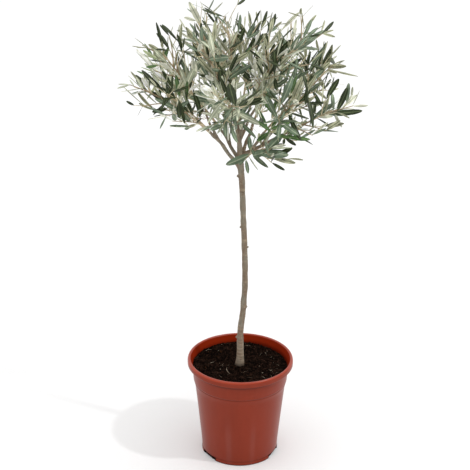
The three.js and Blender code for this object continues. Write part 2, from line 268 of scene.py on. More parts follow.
def wall(a: Pair, b: Pair, clearance: float) -> tuple[Array, float]:
    """The wall between two stems, half way between their nearest points.

    Args:
        a: The ends of the stem whose space is sought.
        b: The ends of the other stem.
        clearance: The gap between the two spaces.

    Returns:
        The direction away from the first stem, and how far along it its space reaches.
    """
    along, other = a[1] - a[0], b[1] - b[0]
    s = t = 0.5
    for _ in range(12):
        t = float(np.clip((a[0] + along * s - b[0]) @ other / (other @ other), 0, 1))
        s = float(np.clip((b[0] + other * t - a[0]) @ along / (along @ along), 0, 1))
    mine = a[0] + along * s
    gap = b[0] + other * t - mine
    size = float(np.linalg.norm(gap))
    return gap / size, mine @ (gap / size) + (size - clearance) / 2


@dataclass
class Skeleton:
    """The trunk and the limbs, from the same named sizes as the part's solids.

    The trunk's taper is its radius at shares of its height.
    """

    foot: float = 188.3
    clearance: float = 0.3
    trunk_tip: float = 655.0
    trunk_bow: float = 12.0
    trunk_taper: tuple[Range, ...] = (
        (0, 9.8), (0.02, 8.5), (0.05, 7.6), (0.1, 7), (0.2, 6.6), (0.32, 6.3), (0.45, 6.15),
        (0.58, 6.05), (0.7, 6), (0.82, 6.1), (0.9, 6.7), (0.95, 6.3), (1, 4.7),
    )
    limb_steps: int = 4
    limb_taper: float = 0.62
    floor_rise: float = 0.3
    curves: dict[str, Curve] = field(default_factory=dict)

    def __post_init__(self) -> None:
        """Lays out each limb's curve."""
        for limb in LIMBS:
            share = (limb.at - self.foot) / (self.trunk_tip - self.foot)
            start = self.curves[limb.on].point(limb.at) if limb.on else self.trunk_at(share)
            turn = math.radians(limb.turn)
            end = np.array([limb.out * math.cos(turn), limb.out * math.sin(turn), limb.up])
            bend = np.array([-limb.arch, -limb.arch, 0.6 * limb.arch])
            self.curves[limb.name] = Curve(start, start + (end - start) * (0.5 + bend), end)

    def trunk_at(self, share: float) -> Array:
        """The trunk's middle line at a share of its height."""
        bow = self.trunk_bow * math.sin(math.pi * share)
        return np.array([bow, 0.0, self.foot + share * (self.trunk_tip - self.foot)])

    def trunk_radius(self, share: float) -> float:
        """The trunk's radius at a share of its height."""
        return float(np.interp(share, *zip(*self.trunk_taper)))

    def bare_stretches(self) -> tuple[Array, Array, Array]:
        """The trunk and boughs as straight stretches.

        Returns:
            Their starts, their ends and the greater radius of each.
        """
        trunk = np.array([self.trunk_at(share) for share, _ in self.trunk_taper])
        lines = [(trunk, np.array([radius for _, radius in self.trunk_taper]))]
        for limb in LIMBS:
            points = self.curves[limb.name].run(0, limb.bare, self.limb_steps)
            lines.append((points, np.linspace(limb.r, limb.r * self.limb_taper, len(points))))
        starts = np.concatenate([p[:-1] for p, _ in lines])
        ends = np.concatenate([p[1:] for p, _ in lines])
        return starts, ends, np.concatenate([np.maximum(r[:-1], r[1:]) for _, r in lines])

    def spaces(self) -> list[Space]:
        """Shares out the room round the trunk.

        Returns:
            The space of each limb's mass, in the order of the limbs.
        """
        curves = [(limb, self.curves[limb.name]) for limb in LIMBS]
        stems = [(curve.point(limb.bare), curve.point(1)) for limb, curve in curves]
        made = []
        for limb, stem in zip(LIMBS, stems):
            walls = [wall(stem, other, self.clearance) for other in stems if other is not stem]
            aways, limits = (np.array(row) for row in zip(*walls))
            made.append(Space(*stem, limb.reach, limb.floor, self.floor_rise, aways, limits))
        return made


# The growth of the masses


@dataclass
class Twig:
    """A stem, shoot or twig as a run of points with a radius at each."""

    points: Array
    radii: Array
    woody: bool
    spray: int = 0

    @property
    def length(self) -> float:
        """The length from end to end, straight."""
        return float(np.linalg.norm(self.points[-1] - self.points[0]))


@dataclass
class Leaf:
    """One leaf: where it starts, the way it points and the way its upper side faces."""

    root: Array
    way: Array
    face: Array
    length: float
    width: float
    form: int
    spray: int


class Side(Enum):
    """The sides of a leaf, each with its own material."""

    UPPER = 0
    UNDER = 1
    RIB = 2


@dataclass(frozen=True)
class Sort:
    """One sort of shoot.

    It has its spacing, its length and the shares of it that occur, the range of its angles to
    what carries it, the room that it keeps past its tip, its rise, its radii, how far its
    side is left to chance, and how far it turns each time that a place is sought again.
    """

    spacing: float
    length: float
    shares: Range
    angles: Range
    tip_room: float
    rise: float
    base: float
    tip: float
    jog: float
    step: float = 0.0
    tries: int = 1
    woody: bool = False


@dataclass(frozen=True)
class Rule:
    """The seeds, sizes and shares of the growth; fine_seed is for what is carried on here."""

    seed: int = 34
    fine_seed: int = 27
    shoot: Sort = Sort(
        spacing=16.0, length=52.0, shares=(0.7, 1.2), angles=(74.0, 36.0), tip_room=22.0,
        rise=0.25, base=1.5, tip=0.7, jog=50.0, step=110.0, tries=5, woody=True,
    )
    finer: Sort = Sort(
        spacing=22.0, length=56.0, shares=(0.55, 1.2), angles=(66.0, 32.0), tip_room=16.0,
        rise=0.5, base=1.25, tip=0.65, jog=40.0, step=90.0, tries=4,
    )
    twig: Sort = Sort(
        spacing=34.0, length=38.0, shares=(0.45, 1.1), angles=(34.0, 56.0), tip_room=14.0,
        rise=0.5, base=0.85, tip=0.5, jog=50.0,
    )
    finer_turn: float = 60.0
    stem_inside: float = 0.03
    stem_tip: float = 0.95
    tip_from: float = 0.72
    sways: Range = (0.01, 0.06)
    lifts: Range = (0.0, 0.09)
    shortest: float = 7.0
    shoot_half: float = 1.5
    probe: float = 3.0
    sample: float = 4.0
    limb_apart: float = 1.2
    leaf_spacing: float = 15.5
    leaf_back: float = 0.12
    leaf_length: float = 55.0
    leaf_lengths: Range = (0.62, 1.2)
    young_lengths: Range = (0.55, 0.95)
    leaf_widths: Range = (0.8, 1.2)
    leaf_half: float = 1.4
    leaf_stalk: float = 0.2
    leaf_marks: Triple = (0.42, 0.7, 0.97)
    leaf_upward: float = 0.35
    leaf_spread: float = 56.0
    leaf_spreads: Range = (0.6, 1.4)
    young_spread: float = 0.5
    leaf_jog: float = 30.0
    spread_less: float = 0.06
    length_less: float = 0.05
    leaf_rise: float = 0.62
    leaf_rises: Range = (-0.35, 1.5)
    leaf_droops: Range = (0.5, 1.4)
    leaf_roll: float = 70.0
    leaf_tries: int = 7
    leaf_apart: float = 8.6
    leaf_lost: float = 0.06
    lost_outside: float = 0.7
    leaf_drooping: float = 0.13
    over_wall: float = 16.0
    bare_share: float = 0.22
    flat_above: float = 70.0
    flat_top: float = 1.2
    forms: int = 6
    middle: float = 725.0
    half_wide: float = 215.0
    half_tall: float = 140.0
    core: float = 0.55
    rind: float = 0.45

    def outness(self, place: Array) -> float:
        """How near the outside of the crown a place is.

        Args:
            place: The place.

        Returns:
            0 in the core, and 1 at the crown's outline.
        """
        wide = math.hypot(place[0], place[1]) / self.half_wide
        away = math.hypot(wide, (place[2] - self.middle) / self.half_tall)
        return min(1.0, max(0.0, (away - self.core) / self.rind))


@dataclass
class Growth:
    """Everything that grows: the framework, and the twigs and leaves of every mass."""

    rule: Rule = Rule()
    skeleton: Skeleton = field(default_factory=Skeleton)
    twigs: list[Twig] = field(default_factory=list)
    leaves: list[Leaf] = field(default_factory=list)
    spots: Array = field(default_factory=lambda: np.zeros((0, 3)))
    sprays: int = 0

    def __post_init__(self) -> None:
        """Grows the masses one by one."""
        self.bare = self.skeleton.bare_stretches()
        for index, space in enumerate(self.skeleton.spaces()):
            Mass(self, index, space).grow()


class Mass:
    """One mass of foliage as it grows: its stem, shoots, twigs and leaves, in its own space."""

    def __init__(self, growth: Growth, index: int, space: Space) -> None:
        """Takes the far end of a limb.

        Args:
            growth: What it is a part of.
            index: The limb's place in the list.
            space: The mass's space.
        """
        self.growth, self.rule, self.index, self.space = growth, growth.rule, index, space
        self.limb = LIMBS[index]
        self.curve = growth.skeleton.curves[self.limb.name]
        self.first = self.limb.bare + growth.skeleton.clearance / self.curve.length()
        self.thick = self.limb.r * growth.skeleton.limb_taper

    def grow(self) -> None:
        """Grows the stem, the shoots and twigs on it, and their leaves."""
        growth, rule = self.growth, self.rule
        stem = self.curve.run(self.first - rule.stem_inside, 1, 10)
        growth.twigs.append(Twig(stem, np.linspace(self.thick, rule.stem_tip, 11), True))
        for shoot, chance in self.source_shoots() + self.finer_shoots():
            own = [shoot, *self.side_twigs(shoot, chance)]
            growth.twigs += own
            for twig in own:
                twig.spray = growth.sprays
                self.leaf_out(twig, self.limb.leafy, chance)
            growth.sprays += 1
        tip = Twig(self.curve.run(rule.tip_from, 1, 4), np.ones(5), False, growth.sprays)
        self.leaf_out(tip, 1.0, Chance(rule.fine_seed * 977 + self.index * 59 + 11))
        growth.sprays += 1

    def source_shoots(self) -> list[tuple[Twig, Chance]]:
        """The shoots that the part's source gives the mass, lightly bent.

        Returns:
            Each shoot with the run of numbers for what grows on it.
        """
        rule, made = self.rule, []
        wide, narrow = rule.shoot.angles
        chords = self.curve.run(self.first, 1, 2)
        count = round(float(np.linalg.norm(chords[-1] - chords[0])) / rule.shoot.spacing)
        for k in range(count):
            random = Chance(rule.seed * 10007 + self.index * 389 + k * 31 + 1)
            share = (k + 0.5) / count
            on_stem = 0.03 + 0.92 * share
            spot = place_on(chords, on_stem)
            angle = wide + (narrow - wide) * share
            longest = rule.shoot.length * random.between(*rule.shoot.shares)
            for attempt in range(rule.shoot.tries):
                roll = k * GOLDEN_TURN + rule.shoot.jog * random() + rule.shoot.step * attempt
                found = self.room_for(rule.shoot, spot, angle, roll, longest, self.thick)
                if found:
                    chance = Chance(rule.fine_seed * 7907 + self.index * 613 + k * 37 + 5)
                    start = self.curve.point(self.first + (1 - self.first) * on_stem)
                    made.append((self.bent(rule.shoot, start, *found, chance), chance))
                    break
        return made

    def finer_shoots(self) -> list[tuple[Twig, Chance]]:
        """Further shoots between those of the source, fewer of them towards the outside.

        Returns:
            Each shoot with the run of numbers for what grows on it.
        """
        rule, curve, made = self.rule, self.curve, []
        wide, narrow = rule.finer.angles
        count = max(2, round(curve.length() * (1 - self.first) / rule.finer.spacing))
        for k in range(count):
            chance = Chance(rule.fine_seed * 5003 + self.index * 419 + k * 53 + 3)
            share = (k + chance()) / count
            t = self.first + (1 - self.first) * (0.04 + 0.95 * share)
            spot = curve.point(t), unit(curve.point(min(t + 0.02, 1)) - curve.point(t - 0.02))
            angle = wide + (narrow - wide) * share
            longest = rule.finer.length * chance.between(*rule.finer.shares)
            if chance() > 1 - rule.outness(spot[0]):
                continue
            for attempt in range(rule.finer.tries):
                roll = k * GOLDEN_TURN + rule.finer_turn + rule.finer.step * attempt
                roll += rule.finer.jog * chance()
                found = self.room_for(rule.finer, spot, angle, roll, longest, self.thick)
                if found:
                    made.append((self.bent(rule.finer, spot[0], *found, chance), chance))
                    break
        return made

    def side_twigs(self, shoot: Twig, chance: Chance) -> list[Twig]:
        """The short twigs on a shoot, turn and turn about.

        Args:
            shoot: The shoot that carries them.
            chance: The shoot's run of numbers.

        Returns:
            The twigs.
        """
        rule, made = self.rule, []
        count = round(shoot.length / rule.twig.spacing)
        turn = 360 * chance()
        for k in range(count):
            spot = place_on(shoot.points, (k + 0.55) / (count + 0.5))
            longest = rule.twig.length * chance.between(*rule.twig.shares)
            roll = turn + 180 * (k % 2) + rule.twig.jog * chance()
            angle = chance.between(*rule.twig.angles)
            found = self.room_for(rule.twig, spot, angle, roll, longest, 0.5)
            if found:
                made.append(self.bent(rule.twig, spot[0], *found, chance))
        return made

    def room_for(
        self, sort: Sort, spot: Pair, angle: float, roll: float, longest: float, thick: float
    ) -> tuple[Array, float] | None:
        """Finds room for a shoot.

        Args:
            sort: What sort of shoot it is.
            spot: A place on the stem that carries it, and the stem's direction there.
            angle: How far the shoot turns away from the stem, in degrees.
            roll: On which side of the stem, in degrees.
            longest: Its greatest length.
            thick: The radius of what carries it.

        Returns:
            Its direction and length, or None where there is no room.
        """
        start, along = spot
        way = unit(leaning(along, angle, roll) + UP * sort.rise)
        most, step, reach = longest + sort.tip_room, self.rule.probe, 0.0
        while reach < most and self.space.holds((start + way * (reach + step))[None], 0):
            reach += step
        length = reach - sort.tip_room
        base, tip = start + way * (thick + 1), start + way * length
        if length < self.rule.shortest or not self.is_clear(base, tip, self.rule.shoot_half):
            return None
        return way, length

    def is_clear(self, start: Array, tip: Array, half: float, over: float = 0.0) -> bool:
        """Whether a straight piece stays in the mass's space and off the trunk and boughs.

        Args:
            start: Its first end.
            tip: Its other end.
            half: Half its width.
            over: How far it may pass the walls to the neighbours.

        Returns:
            True if it does.
        """
        samples = max(1, math.ceil(np.linalg.norm(tip - start) / self.rule.sample))
        points = start + (tip - start) * np.linspace(0, 1, samples + 1)[:, None]
        if not self.space.holds(points, half, over):
            return False
        starts, ends, radii = self.growth.bare
        return bool((distances(points, starts, ends) >= radii + half + self.rule.limb_apart).all())

    def bent(self, sort: Sort, start: Array, way: Array, length: float, chance: Chance) -> Twig:
        """Makes a lightly bent shoot.

        Args:
            sort: What sort of shoot it is.
            start: Where it starts.
            way: The way it points.
            length: Its length.
            chance: The run of numbers to use.

        Returns:
            The shoot.
        """
        side = leaning(way, 90, 360 * chance())
        sway, lift = chance.between(*self.rule.sways), chance.between(*self.rule.lifts)
        shares = np.linspace(0, 1, 6)[:, None]
        bow = np.sin(math.pi * shares) * sway * length * side
        rise = UP * lift * length * shares * (shares - 0.35)
        points = start + way * length * shares + bow + rise
        return Twig(points, np.linspace(sort.base, sort.tip, 6), sort.woody)

    def leaf_out(self, twig: Twig, leafy: float, chance: Chance) -> None:
        """Sets leaves on a twig in opposite pairs, each pair turned square to the last.

        Args:
            twig: The twig that carries them.
            leafy: The share of the leaves that it keeps.
            chance: The run of numbers to use.
        """
        rule = self.rule
        pairs = max(1, round(twig.length / rule.leaf_spacing))
        turn = 360 * chance()
        for i in range(2 * pairs - 1, -1, -1):
            pair = i // 2 + 1
            share = (pair - rule.leaf_back) / pairs
            if share < rule.bare_share and pairs > 2:
                continue
            spot = place_on(twig.points, share)
            young = pair == pairs
            lost = rule.leaf_lost + rule.lost_outside * rule.outness(spot[0]) + 1 - leafy
            if not young and chance() < lost:
                continue
            high = (spot[0][2] - rule.middle - rule.flat_above) / (rule.half_tall - rule.flat_above)
            upright = 1 - rule.flat_top * min(1, max(0, high))
            rise = rule.leaf_rise * chance.between(*rule.leaf_rises) * upright
            if chance() < rule.leaf_drooping:
                rise = -chance.between(*rule.leaf_droops)
            for attempt in range(rule.leaf_tries):
                jog = rule.leaf_jog * (chance() - 0.5) * (1 + attempt)
                side = turn + 90 * pair + 180 * (i % 2) + jog
                spread = chance.between(*rule.leaf_spreads) - rule.spread_less * attempt
                spread = rule.leaf_spread * spread * (rule.young_spread if young else 1)
                way = unit(leaning(spot[1], spread, side) + UP * rise)
                length = self.limb.leaf_size * rule.leaf_length * chance.between(*rule.leaf_lengths)
                length *= 1 - rule.length_less * attempt
                if young:
                    length *= chance.between(*rule.young_lengths)
                if self.place_leaf(twig, spot, way, length, chance):
                    break

    def place_leaf(
        self, twig: Twig, spot: Pair, way: Array, length: float, chance: Chance
    ) -> bool:
        """Adds a leaf if it stays in reach, off the limbs and off its neighbours.

        Args:
            twig: The twig that carries it.
            spot: Where it starts, and the twig's direction there.
            way: The way the leaf points.
            length: Its length.
            chance: The run of numbers to use.

        Returns:
            True if it was added.
        """
        rule, growth, (root, along) = self.rule, self.growth, spot
        start, tip = root + way * rule.leaf_stalk * length, root + way * length
        if not self.is_clear(start, tip, rule.leaf_half, rule.over_wall):
            return False
        spots = root + way * length * np.array(rule.leaf_marks)[:, None]
        apart = np.linalg.norm(growth.spots[None] - spots[:, None], axis=2)
        if (apart < rule.leaf_apart).any():
            return False
        growth.spots = np.concatenate([growth.spots, spots])
        face = along - way * (along @ way) + UP * rule.leaf_upward
        face = unit(face - way * (face @ way))
        roll = math.radians(rule.leaf_roll * (chance() - 0.5) * 2)
        face = face * math.cos(roll) + np.cross(way, face) * math.sin(roll)
        width = chance.between(*rule.leaf_widths) * self.limb.leaf_width
        form = int(chance() * rule.forms) % rule.forms
        growth.leaves.append(Leaf(root, way, face, length, width, form, twig.spray))
        return True


# Node trees


class Wire:
    """A value in a node tree, with Python arithmetic that adds Math nodes."""

    def __init__(self, wiring: "Wiring", socket: bpy.types.NodeSocket) -> None:
        """Wraps one output socket of a tree."""
        self.wiring = wiring
        self.socket = socket

    def _math(self, operation: str, *values: "Wire | float") -> "Wire":
        """Adds one Math node."""
        return self.wiring.node("ShaderNodeMath", {"operation": operation}, dict(enumerate(values)))

    def __add__(self, other: "Wire | float") -> "Wire":
        """The sum."""
        return self._math("ADD", self, other)

    __radd__ = __add__

    def __sub__(self, other: "Wire | float") -> "Wire":
        """The difference."""
        return self._math("SUBTRACT", self, other)

    def __rsub__(self, other: "Wire | float") -> "Wire":
        """The difference, this one taken away."""
        return self._math("SUBTRACT", other, self)

    def __mul__(self, other: "Wire | float") -> "Wire":
        """The product."""
        return self._math("MULTIPLY", self, other)

    __rmul__ = __mul__

    def __truediv__(self, other: "Wire | float") -> "Wire":
        """The quotient."""
        return self._math("DIVIDE", self, other)

    def __rtruediv__(self, other: "Wire | float") -> "Wire":
        """The quotient, this one below."""
        return self._math("DIVIDE", other, self)

    def __pow__(self, other: "Wire | float") -> "Wire":
        """The power."""
        return self._math("POWER", self, other)

    def above(self, low: float) -> "Wire":
        """The value, or a limit where that is more."""
        return self._math("MAXIMUM", self, low)


class Wiring:
    """A tree whose nodes are added one call at a time."""

    def __init__(self, tree: bpy.types.NodeTree) -> None:
        """Wraps a tree."""
        self.tree = tree

    def node(
        self, kind: str, settings: dict | None = None, sockets: dict | None = None, out: int = 0
    ) -> Wire:
        """Adds any node.

        Args:
            kind: The node's type.
            settings: Its settings, set first.
            sockets: Values or wires for its inputs, by name or place.
            out: Which output to hand back.

        Returns:
            That output.
        """
        node = self.tree.nodes.new(kind)
        for key, value in (settings or {}).items():
            setattr(node, key, value)
        for key, value in (sockets or {}).items():
            self.join(node.inputs[key], value)
        return Wire(self, node.outputs[out])

    def join(self, socket: bpy.types.NodeSocket, value: "Wire | float | tuple") -> None:
        """Feeds an input.

        Args:
            socket: The input.
            value: A wire to link to it, or its value.
        """
        if isinstance(value, Wire):
            self.tree.links.new(value.socket, socket)
        else:
            socket.default_value = (*value[:3], 1) if socket.type == "RGBA" else value

    def axis(self, place: Wire, number: int) -> Wire:
        """One coordinate of a place."""
        return self.node("ShaderNodeSeparateXYZ", {}, {0: place}, number)


class Paint(Wiring):
    """One material, built round a Principled shader."""

    def __init__(self, name: str, attribute: str = "", **constants: float) -> None:
        """Makes the material.

        Args:
            name: Its name.
            attribute: What its patterns follow, if not the object's coordinates.
            constants: Values set on the shader's own sockets, by name with _ for a space.
        """
        self.material = bpy.data.materials.new(name)
        self.material.use_nodes = True
        self.attribute = attribute
        super().__init__(self.material.node_tree)
        for key, value in constants.items():
            self.feed(key.replace("_", " "), value)

    def feed(self, socket: str, value: "Wire | float") -> None:
        """Feeds one input of the shader."""
        self.join(self.tree.nodes["Principled BSDF"].inputs[socket], value)

    def place(self) -> Wire:
        """Where a point of the object is, in metres."""
        return self.node("ShaderNodeTexCoord", out=3)

    def grain(
        self, scale: float, detail: float = 3, rough: float = 0.55, stretch: Triple = (1, 1, 1)
    ) -> Wire:
        """Adds smooth noise.

        Args:
            scale: How fine it is.
            detail: How many finer layers it has.
            rough: How strong these are.
            stretch: Its scale along each axis.

        Returns:
            A value from 0 to 1.
        """
        spot = self.place()
        if self.attribute:
            spot = self.node("ShaderNodeAttribute", {"attribute_name": self.attribute}, out=1)
        spot = self.node("ShaderNodeMapping", {}, {"Vector": spot, "Scale": stretch})
        sockets = {"Vector": spot, "Scale": scale, "Detail": detail, "Roughness": rough}
        return self.node("ShaderNodeTexNoise", {}, sockets)

    def steps(self, value: Wire, low: float, high: float) -> Wire:
        """A smooth step from 0 at one value to 1 at another."""
        sockets = {"Value": value, "From Min": low, "From Max": high}
        return self.node("ShaderNodeMapRange", {"interpolation_type": "SMOOTHSTEP"}, sockets)

    def mix(self, factor: "Wire | float", first: "Wire | Colour", second: "Wire | Colour") -> Wire:
        """A blend of two colours."""
        return self.node("ShaderNodeMix", {"data_type": "RGBA"}, {0: factor, 6: first, 7: second}, 2)

    def finished(self, colour: Wire, height: Wire, depth: float, strength: float) -> Material:
        """Sets the colour and the relief.

        Args:
            colour: The colour.
            height: The height of the relief, from 0 to 1.
            depth: Its depth, in metres.
            strength: How strongly it shows.

        Returns:
            The material.
        """
        self.feed("Base Color", colour)
        sockets = {"Height": height, "Distance": depth, "Strength": strength}
        self.feed("Normal", self.node("ShaderNodeBump", {}, sockets))
        return self.material


class Graph(Wiring):
    """A Geometry Nodes tree with named inputs."""

    def __init__(self, name: str, **inputs: str) -> None:
        """Starts the tree.

        Args:
            name: The tree's name.
            inputs: The kind of each input after the geometry itself, by name.
        """
        super().__init__(bpy.data.node_groups.new(name, "GeometryNodeTree"))
        sockets = self.tree.interface
        for side in ("INPUT", "OUTPUT"):
            sockets.new_socket("Geometry", in_out=side, socket_type="NodeSocketGeometry")
        self.keys = {
            label: sockets.new_socket(label, in_out="INPUT", socket_type=f"NodeSocket{kind}").identifier
            for label, kind in inputs.items()
        }
        self.entry = self.tree.nodes.new("NodeGroupInput")

    def given(self, label: str = "Geometry") -> Wire:
        """One of the tree's own inputs."""
        return Wire(self, self.entry.outputs[label])

    def attribute(self, name: str, kind: str) -> Wire:
        """A named attribute of the geometry."""
        return self.node("GeometryNodeInputNamedAttribute", {"data_type": kind}, {"Name": name})

    def random(self, low: Triple, high: Triple, seed: int) -> Wire:
        """A random vector for each element."""
        sockets = {0: low, 1: high, "Seed": seed}
        return self.node("FunctionNodeRandomValue", {"data_type": "FLOAT_VECTOR"}, sockets)

    def copies(self, points: Wire, shape: Wire, turn: Wire, scale: Wire, **more: "Wire | bool") -> Wire:
        """Sets a copy of a shape at each point.

        Args:
            points: The points.
            shape: The shape, or the shapes to pick from.
            turn: The turn of each copy, as angles about the axes.
            scale: The scale of each copy.
            more: Further inputs, by name with _ for a space.

        Returns:
            The copies, as instances.
        """
        rotation = self.node("FunctionNodeEulerToRotation", sockets={0: turn})
        sockets = {"Points": points, "Instance": shape, "Rotation": rotation, "Scale": scale}
        sockets |= {key.replace("_", " "): value for key, value in more.items()}
        return self.node("GeometryNodeInstanceOnPoints", sockets=sockets)

    def finish(self, geometry: Wire, **finishes: Side | None) -> "Graph":
        """Ends the tree: instances made real, then each finish set on its faces.

        Args:
            geometry: What to end with.
            finishes: The side that each material input goes on, by its name, or None for all.

        Returns:
            The tree.
        """
        made = self.node("GeometryNodeRealizeInstances", sockets={0: geometry})
        for label, side in finishes.items():
            sockets = {0: made, 2: self.given(label)}
            if side is not None:
                settings = {"data_type": "INT", "operation": "EQUAL"}
                sides = self.attribute("side", "INT")
                sockets[1] = self.node("FunctionNodeCompare", settings, {2: sides, 3: side.value})
            made = self.node("GeometryNodeSetMaterial", sockets=sockets)
        self.join(self.tree.nodes.new("NodeGroupOutput").inputs[0], made)
        return self

    def mesh(self, source: Piece, name: str, values: dict) -> Piece:
        """Runs the tree on an object and makes the result a plain mesh.

        Args:
            source: The object to start from, which is used up.
            name: The new piece's name.
            values: The inputs, by name.

        Returns:
            The piece.
        """
        modifier = source.modifiers.new("growth", "NODES")
        modifier.node_group = self.tree
        for label, value in values.items():
            modifier[self.keys[label]] = value
        return plain(source, name)


def tube_graph() -> Graph:
    """Lays tubes along runs of points, as thick as each point says.

    Returns:
        The tree, with inputs Sides and Finish.
    """
    graph = Graph("tubes", Sides="Int", Finish="Material")
    line = graph.node("GeometryNodeMeshToCurve", sockets={0: graph.given()})
    ring = {"Resolution": graph.given("Sides"), "Radius": 1.0}
    ring = graph.node("GeometryNodeCurvePrimitiveCircle", {"mode": "RADIUS"}, ring)
    tube = {0: line, 1: ring, "Scale": graph.attribute("thick", "FLOAT"), "Fill Caps": True}
    tube = graph.node("GeometryNodeCurveToMesh", sockets=tube)
    smooth = graph.node("GeometryNodeSetShadeSmooth", sockets={0: tube, "Shade Smooth": True})
    return graph.finish(smooth, Finish=None)


def leaf_graph() -> Graph:
    """Sets leaves at points, each of the form, turn and size that its point says.

    Returns:
        The tree, with inputs Forms, Upper, Under and Rib.
    """
    graph = Graph("leaves", Forms="Collection", Upper="Material", Under="Material", Rib="Material")
    forms = {"Collection": graph.given("Forms"), "Separate Children": True, "Reset Children": True}
    forms = graph.node("GeometryNodeCollectionInfo", {"transform_space": "ORIGINAL"}, forms)
    turn, size = (graph.attribute(name, "FLOAT_VECTOR") for name in ("turn", "size"))
    pick = {"Pick_Instance": True, "Instance_Index": graph.attribute("form", "INT")}
    leaves = graph.copies(graph.given(), forms, turn, size, **pick)
    return graph.finish(leaves, Upper=Side.UPPER, Under=Side.UNDER, Rib=Side.RIB)


def grit_graph() -> Graph:
    """Strews rough grains over a surface, half sunk in it.

    Returns:
        The tree, with inputs Density, Seed, Smallest, Largest and Finish.
    """
    graph = Graph(
        "grit", Density="Float", Seed="Int", Smallest="Float", Largest="Float", Finish="Material"
    )
    strewn = {"Mesh": graph.given(), "Density": graph.given("Density"), "Seed": graph.given("Seed")}
    points = graph.node(
        "GeometryNodeDistributePointsOnFaces", {"distribute_method": "RANDOM"}, strewn
    )
    grain = graph.node("GeometryNodeMeshIcoSphere", sockets={"Radius": 1.0, "Subdivisions": 1})
    turn = graph.random((0.0, 0.0, 0.0), (6.3, 6.3, 6.3), 3)
    size = {2: graph.given("Smallest"), 3: graph.given("Largest"), "Seed": 5}
    size = graph.node("FunctionNodeRandomValue", {"data_type": "FLOAT"}, size, 1)
    shape = graph.random((0.55, 0.7, 0.45), (1.2, 1.5, 0.95), 7)
    scale = graph.node("ShaderNodeVectorMath", {"operation": "SCALE"}, {0: shape, "Scale": size})
    grains = graph.copies(points, grain, turn, scale)
    real = graph.node("GeometryNodeRealizeInstances", sockets={0: grains})
    jog = graph.random((-0.0003,) * 3, (0.0003,) * 3, 9)
    rough = graph.node("GeometryNodeSetPosition", sockets={0: real, "Offset": jog})
    return graph.finish(rough, Finish=None)


# Finishes


def shade(colour: Colour, by: float) -> Colour:
    """A colour made darker or lighter by a factor."""
    return tuple(min(1.0, c * by) for c in colour)


def seen(*screen: int) -> Colour:
    """The shader's colour for a red, green and blue from 0 to 255 on a screen."""
    shares = (c / 255 for c in screen)
    return tuple(c / 12.92 if c <= 0.04 else ((c + 0.055) / 1.055) ** 2.4 for c in shares)


def bands(value: Wire, middles: tuple[Triple, ...]) -> Wire | float:
    """Adds up some soft bands.

    Args:
        value: The value that they lie in.
        middles: The middle, half the width and the strength of each.

    Returns:
        How strongly the value lies in them.
    """
    total = 0.0
    for middle, half, strength in middles:
        away = (value - middle) * (1 / half)
        total = total + strength / (1.0 + (away * away) ** 2)
    return total


@dataclass(frozen=True)
class MouldedPlastic:
    """Satin moulded plastic with faint flow lines, and light painted into its colour.

    A crease is a band of heights darkened as painted shade, an edge a band of heights
    lightened as a painted highlight, and a reflection a band of angles whitened as a painted
    lamp reflection, each with its middle, half its width and its strength.
    """

    name: str
    colour: Colour
    rough: float = 0.36
    gloss: float = 0.16
    sheen: float = 0.1
    # Crease bands darken the colour as painted shade; edge bands lighten it as a painted highlight; bands
    # of angles whiten it as painted lamp reflections.
    painted_shade_bands: tuple[Triple, ...] = ()
    edges: tuple[Triple, ...] = ()
    painted_reflections: tuple[Triple, ...] = ()
    reflection_band: Triple = (48.0, 42.0, 1.0)

    def paint(self) -> Material:
        """Builds the material.

        Returns:
            The material.
        """
        p = Paint(self.name, Specular_IOR_Level=self.gloss, Sheen_Weight=self.sheen, Sheen_Roughness=0.35)
        flow = p.grain(120, stretch=(1, 1, 0.05))
        cloud = p.grain(16, 4, stretch=(1, 1, 0.6))
        tone = p.steps(flow * 0.35 + cloud * 0.65, 0.3, 0.7)
        colour = p.mix(tone, shade(self.colour, 0.94), shade(self.colour, 1.05))
        x, y, z = (p.axis(p.place(), k) / MM for k in range(3))
        # Painted highlight: the colour lightens in each edge band, as on the rim's top lit from above.
        if self.edges:
            colour = p.mix(bands(z, self.edges), colour, shade(self.colour, 1.9))
        # Painted shade: the colour darkens in each crease band, where shade would fall.
        if self.painted_shade_bands:
            colour = p.mix(bands(z, self.painted_shade_bands), colour, shade(self.colour, 0.2))
        # Painted reflections: faint white vertical bands on the wall where lamps would be mirrored.
        if self.painted_reflections:
            turn = p.node("ShaderNodeMath", {"operation": "ARCTAN2"}, {0: x, 1: 0.0 - y})
            lit = bands(turn * (180 / math.pi), self.painted_reflections) * bands(z, (self.reflection_band,))
            colour = p.mix(lit, colour, (1.0, 1.0, 1.0))
        p.feed("Roughness", self.rough - 0.06 + 0.06 * flow + 0.06 * cloud)
        return p.finished(colour, flow * 0.6 + p.grain(1100, 2) * 0.4, 0.00012, 0.4)


@dataclass(frozen=True)
class Crumbly:
    """Dark peaty compost, the grains that lie in it, or painted shade in the pot's slots."""

    name: str
    dark: Colour
    light: Colour
    scale: float = 320.0
    depth: float = 0.0012

    def paint(self) -> Material:
        """Builds the material.

        Returns:
            The material.
        """
        p = Paint(self.name, Specular_IOR_Level=0.02, Roughness=0.95)
        coarse, patch = p.grain(self.scale, 5, 0.65), p.grain(self.scale * 0.24, 2)
        tone = p.steps(coarse * 0.65 + patch * 0.35, 0.44, 0.67)
        return p.finished(p.mix(tone, self.dark, self.light), coarse, self.depth, 0.8)


